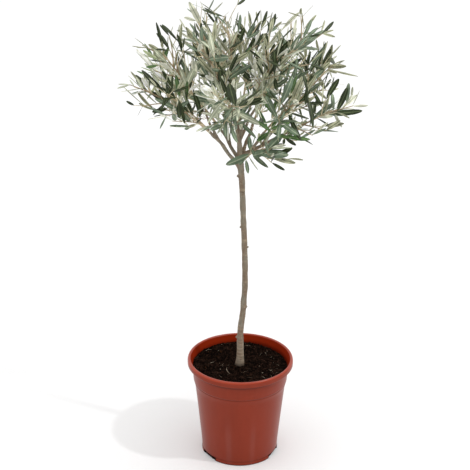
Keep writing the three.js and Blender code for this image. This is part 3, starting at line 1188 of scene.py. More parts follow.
@dataclass(frozen=True)
class Bark:
    """Young grey-brown olive bark: fine furrows along it, pale marks across it, darker at the foot."""

    name: str = "bark"
    grey: Colour = seen(142, 132, 117)
    brown: Colour = seen(130, 107, 88)
    pale: Colour = seen(188, 168, 144)
    aged: Colour = seen(82, 90, 76)
    foot_dark: Colour = seen(40, 28, 20)

    def paint(self) -> Material:
        """Builds the material.

        Returns:
            The material.
        """
        p = Paint(self.name, "grain", Specular_IOR_Level=0.25)
        fibre = p.grain(520, 4, 0.6, (1, 1, 0.12))
        patch = p.grain(70, 4, 0.6, (1, 1, 0.4))
        marks = p.steps(p.grain(330, 2, stretch=(0.35, 0.35, 1.6)), 0.6, 0.72)
        rings = p.steps(p.grain(95, stretch=(0.08, 0.08, 1)), 0.53, 0.66)
        colour = p.mix(p.steps(patch, 0.38, 0.62), self.grey, self.brown)
        colour = p.mix(rings * 0.45, colour, shade(self.pale, 0.9))
        colour = p.mix(marks * 0.55, colour, self.pale)
        colour = p.mix(p.steps(1 - fibre, 0.52, 0.72) * 0.6, colour, shade(self.brown, 0.45))
        height = p.axis(p.place(), 2)
        colour = p.mix(p.steps(height, 0.24, 0.34) * 0.5, colour, p.mix(0.5, colour, self.aged))
        foot = 1 - p.steps(height, 0.215, 0.27)
        ring = p.steps(p.grain(300, 2, stretch=(0.05, 0.05, 1)), 0.46, 0.56)
        colour = p.mix(foot * ring * 0.6, colour, self.pale)
        # Darker at the foot, from the compost up to just under the rim's height.
        foot_darkening = 1 - p.steps(height + 0.012 * (patch - 0.5), 0.187, 0.203)
        p.feed("Roughness", 0.9 - 0.18 * patch)
        relief = fibre * 0.7 + marks * 0.3
        return p.finished(p.mix(foot_darkening * 0.9, colour, self.foot_dark), relief, 0.0006, 0.8)


@dataclass(frozen=True)
class TwigSkin:
    """The smooth skin of shoots and twigs, freckled and darker in patches."""

    name: str
    colour: Colour
    other: Colour

    def paint(self) -> Material:
        """Builds the material.

        Returns:
            The material.
        """
        p = Paint(self.name, Specular_IOR_Level=0.3, Roughness=0.72)
        freckle = p.grain(1300, 2)
        tone = p.mix(p.steps(p.grain(60), 0.4, 0.6), self.colour, self.other)
        spots = p.steps(freckle, 0.56, 0.7) * 0.5
        return p.finished(p.mix(spots, tone, shade(self.other, 0.55)), freckle, 0.0002, 0.6)


@dataclass(frozen=True)
class LeafSkin:
    """One side of the leaves of one tint: its colour, how waxy it is, and fine grain."""

    name: str
    colour: Colour
    rough: float
    gloss: float
    sheen: float = 0.0

    def paint(self) -> Material:
        """Builds the material.

        Returns:
            The material.
        """
        p = Paint(self.name, Specular_IOR_Level=self.gloss, Sheen_Weight=self.sheen, Sheen_Roughness=0.6)
        cloud, pores = p.grain(48), p.grain(1500, 2)
        tone = p.mix(p.steps(cloud, 0.38, 0.62), shade(self.colour, 0.76), shade(self.colour, 1.24))
        p.feed("Roughness", self.rough - 0.06 + 0.12 * cloud)
        spots = p.steps(pores, 0.5, 0.75) * 0.22
        return p.finished(p.mix(spots, tone, shade(self.colour, 0.7)), pores, 0.00012, 0.6)


class Tint(Enum):
    """The tints of the foliage, dealt out by spray."""

    GREY = "grey"
    DEEP = "deep"
    FRESH = "fresh"
    PALE = "pale"


@dataclass(frozen=True)
class Foliage:
    """The colours of one tint's leaves, and its share of the sprays inside and at the outside."""

    inner: float
    outer: float
    upper: Colour
    under: Colour
    rib: Colour

    def paints(self, tint: Tint) -> dict[str, Material]:
        """Builds the materials of the upper side, the underside and the midrib.

        Args:
            tint: The tint that they are named after.

        Returns:
            The materials, by the leaf tree's inputs.
        """
        return {
            "Upper": LeafSkin(f"leaf_upper_{tint.value}", self.upper, 0.42, 0.2).paint(),
            "Under": LeafSkin(f"leaf_under_{tint.value}", self.under, 0.8, 0.15, 0.08).paint(),
            "Rib": LeafSkin(f"leaf_rib_{tint.value}", self.rib, 0.6, 0.2).paint(),
        }


FOLIAGE = {
    Tint.GREY: Foliage(0.26, 0.36, seen(102, 118, 97), seen(226, 226, 206), seen(154, 164, 139)),
    Tint.DEEP: Foliage(0.38, 0.46, seen(43, 53, 30), seen(182, 183, 154), seen(84, 94, 64)),
    Tint.FRESH: Foliage(0.08, 0.08, seen(78, 107, 64), seen(190, 198, 160), seen(120, 144, 92)),
    Tint.PALE: Foliage(0.32, 0.12, seen(172, 178, 154), seen(254, 254, 236), seen(226, 227, 205)),
}


# Meshes


def shown(name: str, mesh: Mesh) -> Piece:
    """Adds an object for a mesh, at the origin.

    Args:
        name: The object's name.
        mesh: Its mesh.

    Returns:
        The object.
    """
    made = bpy.data.objects.new(name, mesh)
    bpy.context.scene.collection.objects.link(made)
    return made


def plain(source: Piece, name: str) -> Piece:
    """Makes an object's evaluated shape a plain mesh; the object goes.

    Args:
        source: The object.
        name: The name of the piece that takes its place.

    Returns:
        The piece.
    """
    graph = bpy.context.evaluated_depsgraph_get()
    mesh = bpy.data.meshes.new_from_object(
        source.evaluated_get(graph), preserve_all_data_layers=True, depsgraph=graph
    )
    mesh.name = name
    bpy.data.objects.remove(source)
    for extra in {"thick", "turn", "size", "form", "side"} & set(mesh.attributes.keys()):
        mesh.attributes.remove(mesh.attributes[extra])
    return shown(name, mesh)


def mesh_of(name: str, points: Array | list, edges: list, faces: list) -> Mesh:
    """Makes a mesh, in metres.

    Args:
        name: Its name.
        points: Its points, in millimetres.
        edges: Its edges.
        faces: Its faces.

    Returns:
        The mesh.
    """
    mesh = bpy.data.meshes.new(name)
    mesh.from_pydata((np.asarray(points) * MM).tolist(), edges, faces)
    return mesh


def read(mesh: Mesh, key: str) -> Array:
    """Reads the places or the normals of a mesh's points.

    Args:
        mesh: The mesh.
        key: "co" for the places, or "normal".

    Returns:
        One in each row.
    """
    flat = np.zeros(len(mesh.vertices) * 3)
    mesh.vertices.foreach_get(key, flat)
    return flat.reshape(-1, 3)


def store(mesh: Mesh, name: str, kind: str, values: Array | list, domain: str = "POINT") -> None:
    """Stores an attribute on a mesh.

    Args:
        mesh: The mesh.
        name: The attribute's name.
        kind: Its data type.
        values: Its values, in order.
        domain: What it is stored on.
    """
    layer = mesh.attributes.new(name, kind, domain)
    layer.data.foreach_set("vector" if "VECTOR" in kind else "value", np.ravel(values))


def tubes(name: str, lines: list[Pair], sides: int, finish: Material) -> Piece:
    """Makes tubes along runs of points.

    Args:
        name: The piece's name.
        lines: The points and radii of each run, in millimetres.
        sides: How many sides each tube has.
        finish: Its material.

    Returns:
        The piece.
    """
    edges, count = [], 0
    for line, _ in lines:
        edges += [(i, i + 1) for i in range(count, count + len(line) - 1)]
        count += len(line)
    mesh = mesh_of(name, np.concatenate([line for line, _ in lines]), edges, [])
    store(mesh, "thick", "FLOAT", np.concatenate([radii for _, radii in lines]) * MM)
    return tube_graph().mesh(shown(name, mesh), name, {"Sides": sides, "Finish": finish})


def circle(sides: int) -> Array:
    """The angles of the points round a ring."""
    return np.arange(sides) * 2 * math.pi / sides


def bridged(starts: list[int], sides: int, inwards: bool = False) -> list[tuple[int, ...]]:
    """The faces between rings of points, each ring and the next.

    Args:
        starts: The number of each ring's first point.
        sides: How many points a ring has.
        inwards: Whether rings that rise have faces that point to the axis.

    Returns:
        The faces.
    """
    faces = []
    for a, b in zip(starts, starts[1:]):
        for k in range(sides):
            n = (k + 1) % sides
            faces.append((a + k, b + k, b + n, a + n) if inwards else (a + k, a + n, b + n, b + k))
    return faces


def smoothed(mesh: Mesh, angle: float) -> Mesh:
    """Shades a mesh smooth.

    Args:
        mesh: The mesh.
        angle: How far it turns at an edge that is left sharp, in degrees.

    Returns:
        The mesh.
    """
    mesh.shade_smooth()
    work = bmesh.new()
    work.from_mesh(mesh)
    for edge in work.edges:
        edge.smooth = len(edge.link_faces) == 2 and edge.calc_face_angle(0) < math.radians(angle)
    work.to_mesh(mesh)
    work.free()
    return mesh


def declare(piece: Piece, slot: str, *nodes: str) -> Piece:
    """Sets a piece on the one body and hides the solids that it stands for.

    Args:
        piece: The piece.
        slot: The record's material slot; not used.
        nodes: The solids that it stands for.

    Returns:
        The piece.
    """
    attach(piece, BODY)
    if nodes:
        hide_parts(*nodes)
    log.info("%s: %d faces", piece.name, len(piece.data.polygons))
    return piece


# The pot


@dataclass(frozen=True)
class Lean:
    """How the pot stands a little askew: its foot is flat, and its rim leans to the right.

    It has the share of its height that it loses for each metre to the right, how far it is
    set aside, and how far it leans over for its height.
    """

    lower: float = 0.045
    aside: float = 0.5
    over: float = 0.0065

    def tilt(self, mesh: Mesh) -> Mesh:
        """Leans a mesh of the pot.

        Args:
            mesh: The mesh, about the pot's own axis.

        Returns:
            The same mesh.
        """
        points = read(mesh, "co")
        points[:, 2] *= 1 - self.lower * points[:, 0]
        points[:, 0] += self.aside * MM + self.over * points[:, 2]
        mesh.vertices.foreach_set("co", points.ravel())
        return mesh


class PotSide(Enum):
    """The sides of the pot, each with its own finish."""

    OUTSIDE = 0
    INSIDE = 1
    # The rim's top, in a lighter copy of the plastic: a painted highlight.
    LIP = 2


POT_SKINS = {
    PotSide.OUTSIDE: MouldedPlastic(
        "pot_plastic",
        seen(132, 47, 26),
        # Painted light: shade painted under the lip, in the groove and the low crease, a painted contact
        # shadow at the foot, a painted highlight on the rim's top, and faint painted reflections of lamps
        # down the wall.
        painted_shade_bands=((189.2, 3.0, 0.55), (159.2, 1.6, 0.3), (7.6, 1.6, 0.3), (0.0, 1.7, 0.9)),
        edges=((206.0, 2.2, 0.9),),
        painted_reflections=((-15.8, 4.2, 0.016), (19.0, 3.6, 0.014)),
    ),
    # The inside: a deeper, more saturated copy of the plastic, painted to stand for light bounced round
    # inside the pot, with painted shade darkening it towards the compost.
    PotSide.INSIDE: MouldedPlastic(
        "pot_plastic_inside", seen(142, 38, 9), 0.6, 0.03, 0.0, ((187.0, 6.0, 0.7),)
    ),
    # A lighter, glossier copy of the plastic for the rim's top; its lighter colour is a painted
    # highlight.
    PotSide.LIP: MouldedPlastic("pot_plastic_lip", seen(156, 57, 34), 0.3, 0.45),
}


@dataclass
class Pot:
    """The nursery pot: a tapering wall, a collar, a rolled rim and slots in its foot.

    Its profile is pairs of radius and height: up the outside from under the foot to the
    rim's inner edge, and down the inside to the middle of the floor.
    """

    sides: int = 144
    lip_from: float = 204.5
    slots: int = 3
    slot_turn: float = 95.5
    slot_inner: float = 73.0
    slot_depth: float = 32.7
    slot_width: float = 42.0
    slot_height: float = 7.4
    outside: tuple[Range, ...] = (
        (0, 0), (24, 0), (48, 0), (62, 0), (72, 0), (76.0, 0), (77.0, 0.3), (77.3, 1.0),
        (77.2, 2.4), (77.0, 4.8), (76.7, 6.9), (76.3, 7.6), (76.5, 8.5), (76.9, 10.5),
        (77.6, 22), (79.1, 38), (80.8, 55), (82.5, 72), (84.2, 90), (85.9, 106), (87.5, 122),
        (89.0, 136), (89.9, 144), (90.7, 149.5), (91.7, 153), (92.4, 155.8), (92.75, 157.0),
        (92.85, 157.8), (92.6, 158.5), (92.65, 159.3), (93.3, 160.0), (93.8, 160.9),
        (94.1, 162.5), (94.9, 174), (95.5, 182), (96.1, 188), (97.1, 192), (98.7, 196),
        (100.3, 199.4), (101.3, 201.4), (102.3, 202.1), (103.2, 201.7), (103.8, 200.2),
        (104.0, 196.8), (104.1, 195.2), (104.5, 194.5), (105.1, 194.4), (105.6, 195.1),
        (105.7, 196.6), (105.7, 201.2), (105.5, 203.2), (105.0, 204.8), (104.3, 205.9),
        (103.4, 206.4), (102.4, 206.5), (101.3, 206.35), (100.4, 205.8), (99.7, 204.9), (99.3, 203.6),
    )
    inside: tuple[Range, ...] = (
        (98.6, 201), (97.7, 198.6), (96.3, 195), (95.0, 191), (94.1, 187), (92.9, 176),
        (91.7, 163), (90.6, 155), (88.7, 149.5), (85.6, 120), (81.2, 72), (75.2, 8), (74.2, 6.4),
        (72, 6), (48, 6), (24, 6), (0, 6),
    )

    def build(self) -> Piece:
        """Makes and dresses the pot.

        Returns:
            The piece.
        """
        profile = [*self.outside, *self.inside]
        angles = circle(self.sides)
        points = [(r * math.cos(a), r * math.sin(a), z) for r, z in profile[1:-1] for a in angles]
        low, high, rings = len(points), len(points) + 1, len(profile) - 2
        points += [(0, 0, profile[0][1]), (0, 0, profile[-1][1])]
        starts = [i * self.sides for i in range(rings)]
        faces = bridged(starts, self.sides)
        for k in range(self.sides):
            n = (k + 1) % self.sides
            faces += [(low, n, k), (high, starts[-1] + k, starts[-1] + n)]
        mesh = Lean().tilt(mesh_of("pot_shell", points, [], faces))
        marks = []
        for row, (here, above) in enumerate(zip(profile[1:], profile[2:-1]), 1):
            side = PotSide.INSIDE if row >= len(self.outside) - 2 else PotSide.OUTSIDE
            # Faces of the rim's top take the lighter copy of the plastic, a painted highlight.
            if min(here[1], above[1]) > self.lip_from:
                side = PotSide.LIP
            marks += [side.value] * self.sides
        marks += [PotSide.OUTSIDE.value, PotSide.INSIDE.value] * self.sides
        mesh.polygons.foreach_set("material_index", np.array(marks, np.int32))
        piece = shown("pot_shell", mesh)
        for side in PotSide:
            mesh.materials.append(POT_SKINS[side].paint())
        self.cut_slots(piece)
        smoothed(piece.data, angle=50)
        return declare(piece, "terracotta_plastic", "pot")

    def cut_slots(self, piece: Piece) -> None:
        """Cuts the drain slots through the foot of the pot.

        Args:
            piece: The pot.
        """
        cutter = bmesh.new()
        place = Matrix.Translation(((self.slot_inner + self.slot_depth / 2) * MM, 0, 0))
        sizes = (self.slot_depth * MM, self.slot_width * MM, 2 * self.slot_height * MM, 1)
        for i in range(self.slots):
            turn = Matrix.Rotation(math.radians(self.slot_turn + 360 * i / self.slots), 4, "Z")
            bmesh.ops.create_cube(cutter, size=1, matrix=turn @ place @ Matrix.Diagonal(sizes))
        mesh = bpy.data.meshes.new("slots")
        cutter.to_mesh(mesh)
        cutter.free()
        # Painted shade: the slots' cut faces take a dark compost finish, so the slots read dark.
        mesh.materials.append(Crumbly("slot_dark", seen(10, 7, 5), seen(24, 15, 10)).paint())
        cut = piece.modifiers.new("slots", "BOOLEAN")
        cut.operation, cut.solver, cut.object = "DIFFERENCE", "EXACT", shown("slots", mesh)
        cut.material_mode = "TRANSFER"
        graph = bpy.context.evaluated_depsgraph_get()
        made = bpy.data.meshes.new_from_object(piece.evaluated_get(graph), depsgraph=graph)
        bpy.data.objects.remove(cut.object)
        piece.modifiers.remove(cut)
        piece.data = made
        made.name = piece.name


# The compost


@dataclass(frozen=True)
class Strewn:
    """Grains strewn over the compost: how many on a square metre, and their radii in metres."""

    name: str
    density: float
    seed: int
    smallest: float
    largest: float
    finish: Crumbly


@dataclass
class Compost:
    """The compost: a crumbled, uneven surface with grit and straw in it.

    Its body under the surface is pairs of radius and height. The long straw has its
    distance out and turn about the axis, its way and curl, its length and its radius.
    """

    level: float = 188.0
    bank: float = 1.7
    slope: float = 0.022
    bank_from: float = 34.0
    bank_over: float = 54.0
    mound: float = 1.8
    mound_reach: float = 17.0
    middle_rise: float = 1.5
    radius: float = 93.9
    rings: int = 64
    ring_spread: float = 0.8
    sides: int = 192
    under: tuple[Range, ...] = ((92.6, 176), (90.4, 155), (88.4, 149.4), (72.4, 6.5))
    peat: Crumbly = Crumbly("compost", seen(5, 3, 2), seen(38, 25, 18))
    strewn: tuple[Strewn, ...] = (
        Strewn("compost_crumbs", 90000.0, 1, 0.0007, 0.0024,
               Crumbly("crumbs", seen(3, 1, 1), seen(70, 49, 39), 460)),
        Strewn("pale_grit", 450.0, 4, 0.0004, 0.0011,
               Crumbly("grit", seen(150, 140, 120), seen(225, 218, 205), 700, 0.0004)),
        Strewn("bark_chips", 1500.0, 8, 0.0009, 0.0028,
               Crumbly("chips", seen(30, 18, 10), seen(66, 40, 22), 420)),
    )
    straw: TwigSkin = TwigSkin("straw", seen(170, 158, 138), seen(100, 86, 70))
    straw_seed: int = 2027
    straw_count: int = 34
    straw_points: int = 8
    long_straw: tuple[float, ...] = (26.4, 3.571, 4.25, 1.3, 32.0, 0.6)

    def height(self, x: Array, y: Array) -> Array:
        """Finds how high the surface stands.

        Args:
            x: How far to the right some places are.
            y: How far back they are.

        Returns:
            The height at each, in millimetres.
        """
        r = np.hypot(x, y)
        rise = np.clip((r - self.bank_from) / self.bank_over, 0, 1)
        mound = self.mound * np.exp(-((r / self.mound_reach) ** 2))
        spots = np.stack([x, y, np.zeros_like(x)], 1)
        lumps = 1.9 * waves(spots + 7.3, 0.055) + 1.6 * waves(spots, 0.16)
        banked = (self.bank - self.slope * x) * rise * rise * (3 - 2 * rise)
        return self.level + banked + mound + lumps + 0.55 * waves(spots + 3.1, 0.45)

    def build(self) -> None:
        """Makes the body of the compost and what lies on it."""
        sides, angles = self.sides, circle(self.sides)
        away = self.radius * (np.linspace(1 / self.rings, 1, self.rings) ** self.ring_spread)[:, None]
        x, y = (away * np.cos(angles)).ravel(), (away * np.sin(angles)).ravel()
        middle = [[0, 0, self.level + self.middle_rise]]
        top = np.concatenate([np.stack([x, y, self.height(x, y)], 1), middle])
        starts = [i * sides for i in range(self.rings)]
        faces = bridged(starts, sides, inwards=True)
        faces += [(len(top) - 1, k, (k + 1) % sides) for k in range(sides)]
        surface = Lean().tilt(mesh_of("surface", top, [], faces))
        rows = [np.stack([r * np.cos(angles), r * np.sin(angles), np.full(sides, z)], 1)
                for r, z in self.under]
        body = np.concatenate([top, *rows, [[0, 0, self.under[-1][1]]]])
        starts = starts[-1:] + [len(top) + i * sides for i in range(len(rows))]
        faces += bridged(starts, sides, inwards=True)
        faces += [(len(body) - 1, starts[-1] + (k + 1) % sides, starts[-1] + k) for k in range(sides)]
        mesh = Lean().tilt(mesh_of("potting_compost", body, [], faces))
        mesh.shade_smooth()
        mesh.materials.append(self.peat.paint())
        declare(shown("potting_compost", mesh), "compost", "soil")
        graph = grit_graph()
        for grains in self.strewn:
            values = {
                "Density": grains.density,
                "Seed": grains.seed,
                "Smallest": grains.smallest,
                "Largest": grains.largest,
                "Finish": grains.finish.paint(),
            }
            declare(graph.mesh(shown(grains.name, surface.copy()), grains.name, values), "compost")
        declare(tubes("straw_bits", self.fibres(), 5, self.straw.paint()), "compost")

    def fibres(self) -> list[Pair]:
        """The thin fibres that lie on the compost, the first of them long and given.

        Returns:
            The points and radii of each.
        """
        chance, count, made = Chance(self.straw_seed), self.straw_points, []
        for number in range(self.straw_count):
            r, turn = self.radius * math.sqrt(chance.between(0.03, 0.9)), 2 * math.pi * chance()
            way, curl = 2 * math.pi * chance(), chance.between(-1.6, 1.6)
            length, thick = chance.between(4, 17), chance.between(0.12, 0.28)
            if number == 0:
                r, turn, way, curl, length, thick = self.long_straw
            ways = way + curl / count * np.arange(1, count)
            steps = length / (count - 1) * np.column_stack([np.cos(ways), np.sin(ways)])
            first = np.array([[r * math.cos(turn), r * math.sin(turn)]])
            x, y = np.cumsum(np.concatenate([first, steps]), axis=0).T
            if np.hypot(x, y).max() > self.radius - 2:
                continue
            height = self.height(x, y) + 1.0
            height += chance.between(0, 2.6) * np.sin(np.linspace(0, math.pi, count))
            radii = thick * np.sin(np.linspace(0.35, 2.8, count))
            made.append((np.column_stack([x, y, height]), radii))
        return made


# The wood


@dataclass
class Wood:
    """The trunk and boughs as one skin of bark, with pruned stubs and fine furrows.

    A bend has its share of the height, its reach and how far it goes. A stub has its share
    of the height, its side in degrees, its length and its radius.
    """

    growth: Growth
    voxel: float = 0.95
    sides: int = 16
    below_soil: float = 4.0
    aside: float = 1.8
    slimmer: float = 0.95
    limb_sway: float = 1.3
    limb_flare: float = 0.22
    furrow_depth: float = 0.32
    fine_depth: float = 0.14
    lump_depth: float = 0.5
    ring_depth: float = 0.3
    furrow_from: float = 0.45
    ring_from: float = 0.28
    root_flare: float = 1.0
    flare_from: float = 186.0
    flare_to: float = 260.0
    flare_fade: float = 9.0
    limb_margin: float = 14.0
    grain_apart: float = 40.0
    furrow_scale: Triple = (0.42, 0.42, 0.055)
    fine_scale: Triple = (0.8, 0.8, 0.16)
    lump_scale: Triple = (0.11, 0.11, 0.07)
    ring_scale: Triple = (0.12, 0.12, 0.62)
    bends: tuple[Triple, ...] = (
        (0.0, 0.07, 2.2), (0.18, 0.07, -2.0), (0.365, 0.05, 1.8), (0.665, 0.06, -1.7),
    )
    stubs: tuple[tuple[float, float, float, float], ...] = (
        (0.13, 200, 2.6, 2.6), (0.27, 20, 2.2, 2.2), (0.36, 255, 2.6, 2.0),
        (0.47, 120, 2.4, 2.0), (0.55, 330, 2.3, 1.8), (0.64, 215, 2.8, 2.2),
        (0.73, 60, 2.2, 2.0), (0.79, 285, 2.6, 2.4), (0.86, 170, 2.4, 2.2),
    )

    def stem_at(self, share: float) -> Array:
        """Finds a place on the stem's middle line, set aside and lightly bent.

        Args:
            share: The share of the stem's height.

        Returns:
            The place.
        """
        place = self.growth.skeleton.trunk_at(share)
        bent = sum(by * math.exp(-(((share - at) / reach) ** 2)) for at, reach, by in self.bends)
        place[0] += bent - self.aside * min(1.0, max(0.0, (1.02 - share) * 9))
        return place

    def lines(self) -> list[Pair]:
        """Lays out the trunk, the boughs and the pruned stubs.

        Returns:
            The middle line and the radii of each.
        """
        bones = self.growth.skeleton
        shares = np.linspace(-self.below_soil / (bones.trunk_tip - bones.foot), 1, 60)
        trunk = np.array([self.stem_at(s) for s in shares])
        trunk[:, 0] += 0.5 * np.sin(shares * 31) * np.clip(shares * 8, 0, 1)
        trunk[:, 1] += 0.8 * np.sin(shares * 23 + 1) * np.clip(shares * 8, 0, 1)
        radii = np.array([bones.trunk_radius(max(s, 0)) for s in shares])
        made = [(trunk, radii * self.slimmer + 0.25 * np.sin(shares * 70))]
        share = np.linspace(0, 1, 15)
        for i, limb in enumerate(LIMBS):
            sway = [np.sin(share * 9 + i), np.cos(share * 8 + 2 * i), 0.5 * np.sin(share * 11 + i)]
            sway = np.sin(math.pi * share)[:, None] * self.limb_sway * np.stack(sway, 1)
            thick = np.linspace(limb.r, limb.r * bones.limb_taper, 15)
            thick = thick * (1 + self.limb_flare * np.exp(-share * 9))
            points = bones.curves[limb.name].run(0, limb.bare, 14) + sway
            made.append((points, thick * (1 + 0.05 * np.sin(share * 26 + i))))
        for at, turn, long, thick in self.stubs:
            way = np.array([math.cos(math.radians(turn)), math.sin(math.radians(turn)), 0.55])
            reach = np.linspace(0.3, bones.trunk_radius(at) + long, 5)[:, None]
            made.append((self.stem_at(at) + way * reach, np.linspace(thick * 1.35, thick, 5)))
        return made

    def build(self) -> Piece:
        """Makes the skin of bark.

        Returns:
            The piece.
        """
        lines, finish = self.lines(), Bark().paint()
        rough = tubes("wood", lines, self.sides, finish)
        skin = rough.modifiers.new("skin", "REMESH")
        skin.mode, skin.voxel_size, skin.use_smooth_shade = "VOXEL", self.voxel * MM, True
        ease = rough.modifiers.new("ease", "SMOOTH")
        ease.factor, ease.iterations = 0.5, 3
        piece = plain(rough, "bark_wood")
        if not piece.data.materials:
            piece.data.materials.append(finish)
        self.carve(piece.data, lines)
        piece.data.shade_smooth()
        return declare(piece, "bark", "trunk", *[f"bough_{limb.name}" for limb in LIMBS])

    def carve(self, mesh: Mesh, lines: list[Pair]) -> None:
        """Gives the skin its relief, and each point its place along its limb.

        Args:
            mesh: The skin.
            lines: The middle lines and radii it was made from.
        """
        points = read(mesh, "co") / MM
        grain = self.unrolled(points, lines)
        furrow = 1 - np.abs(waves(grain, self.furrow_scale)) * 2
        fine = waves(grain + 9.1, self.fine_scale)
        rings = waves(grain + 5.7, self.ring_scale)
        lumps = waves(grain + 2.3, self.lump_scale)
        depth = -self.furrow_depth * np.clip(furrow - self.furrow_from, 0, 1)
        depth = depth + self.fine_depth * fine + self.lump_depth * lumps
        depth += self.ring_depth * np.clip(rings - self.ring_from, 0, 1) / 0.4
        above = np.clip(points[:, 2] - self.flare_from, 0, None)
        turn = np.arctan2(points[:, 1], points[:, 0])
        toes = self.root_flare * np.exp(-above / self.flare_fade) * (0.4 + np.cos(4 * turn + 0.7))
        depth += toes * (points[:, 2] < self.flare_to)
        points = points + read(mesh, "normal") * depth[:, None]
        mesh.vertices.foreach_set("co", (points * MM).ravel())
        store(mesh, "grain", "FLOAT_VECTOR", grain * MM)
        mesh.update()

    def unrolled(self, points: Array, lines: list[Pair]) -> Array:
        """Finds each point's place across and along the limb that it is on.

        Args:
            points: The points, in millimetres.
            lines: The middle lines and radii of the limbs.

        Returns:
            Two distances across the limb and one along it, for each point.
        """
        best, made = np.full(len(points), np.inf), np.zeros_like(points)
        for number, (line, radii) in enumerate(lines):
            low, high = line.min(0) - self.limb_margin, line.max(0) + self.limb_margin
            chosen = np.nonzero((points >= low).all(1) & (points <= high).all(1))[0]
            whole, length = unit(line[-1] - line[0]), 0.0
            across = unit(np.cross(whole, RIGHT if abs(whole[0]) < 0.8 else BACK))
            third = np.cross(whole, across)
            for start, step, radius in zip(line, np.diff(line, axis=0), radii):
                size = float(np.linalg.norm(step))
                rel = points[chosen] - start
                share = np.clip(rel @ step / size**2, 0, 1)
                off = rel - share[:, None] * step
                away = np.linalg.norm(off, axis=1) / radius
                better = away < best[chosen]
                where, off = chosen[better], off[better]
                best[where] = away[better]
                made[where, 0] = off @ across + self.grain_apart * number
                made[where, 1] = off @ third
                made[where, 2] = length + share[better] * size
                length += size
        return made


# The foliage


@dataclass(frozen=True)
class LeafForm:
    """One shape of leaf: lance-shaped, a little folded, bent and swept to one side.

    A station has its share of the length, the share of the width there and the thickness.
    """

    width: float
    drop: float
    bend: float
    sweep: float
    twist: float
    rib: float = 0.13
    stations: tuple[Triple, ...] = (
        (0.0, 0.13, 0.02), (0.08, 0.14, 0.019), (0.17, 0.5, 0.014), (0.33, 0.86, 0.012),
        (0.53, 1.0, 0.011), (0.73, 0.93, 0.01), (0.88, 0.66, 0.009), (0.96, 0.37, 0.008),
    )

    def mesh(self, name: str) -> Mesh:
        """Makes the leaf, one long, along +Y with its upper side to +Z.

        Args:
            name: The mesh's name.

        Returns:
            The mesh, each face marked with its side.
        """
        points, faces, sides = [], [], []
        for s, wide, thick in self.stations:
            w = self.width / 2 * wide
            rib = self.width / 2 * min(self.rib, wide * 0.6)
            x0, z0 = self.sweep * math.sin(math.pi * s * 0.9), self.bend * s * s
            cos, sin = math.cos(self.twist * s), math.sin(self.twist * s)
            row = ((-w, -self.drop * w), (-rib, 0.25 * thick), (rib, 0.25 * thick),
                   (w, -self.drop * w), (-rib, -thick), (rib, -thick))
            points += [(x0 + x * cos - z * sin, s, z0 + x * sin + z * cos) for x, z in row]
        tip = len(points)
        points.append((self.sweep * math.sin(math.pi * 0.9), 1.0, self.bend))
        strips = (
            (0, 1, Side.UPPER), (4, 0, Side.UNDER), (1, 2, Side.RIB),
            (5, 4, Side.RIB), (2, 3, Side.UPPER), (3, 5, Side.UNDER),
        )
        for a in range(0, tip, 6):
            b = a + 6
            for p, q, side in strips:
                faces.append((a + p, a + q, b) if b == tip else (a + p, a + q, b + q, b + p))
                sides.append(side.value)
        mesh = bpy.data.meshes.new(name)
        mesh.from_pydata(points, [], [*faces, (0, 4, 5, 3, 2, 1)])
        store(mesh, "side", "INT", [*sides, Side.RIB.value], "FACE")
        return smoothed(mesh, angle=60)


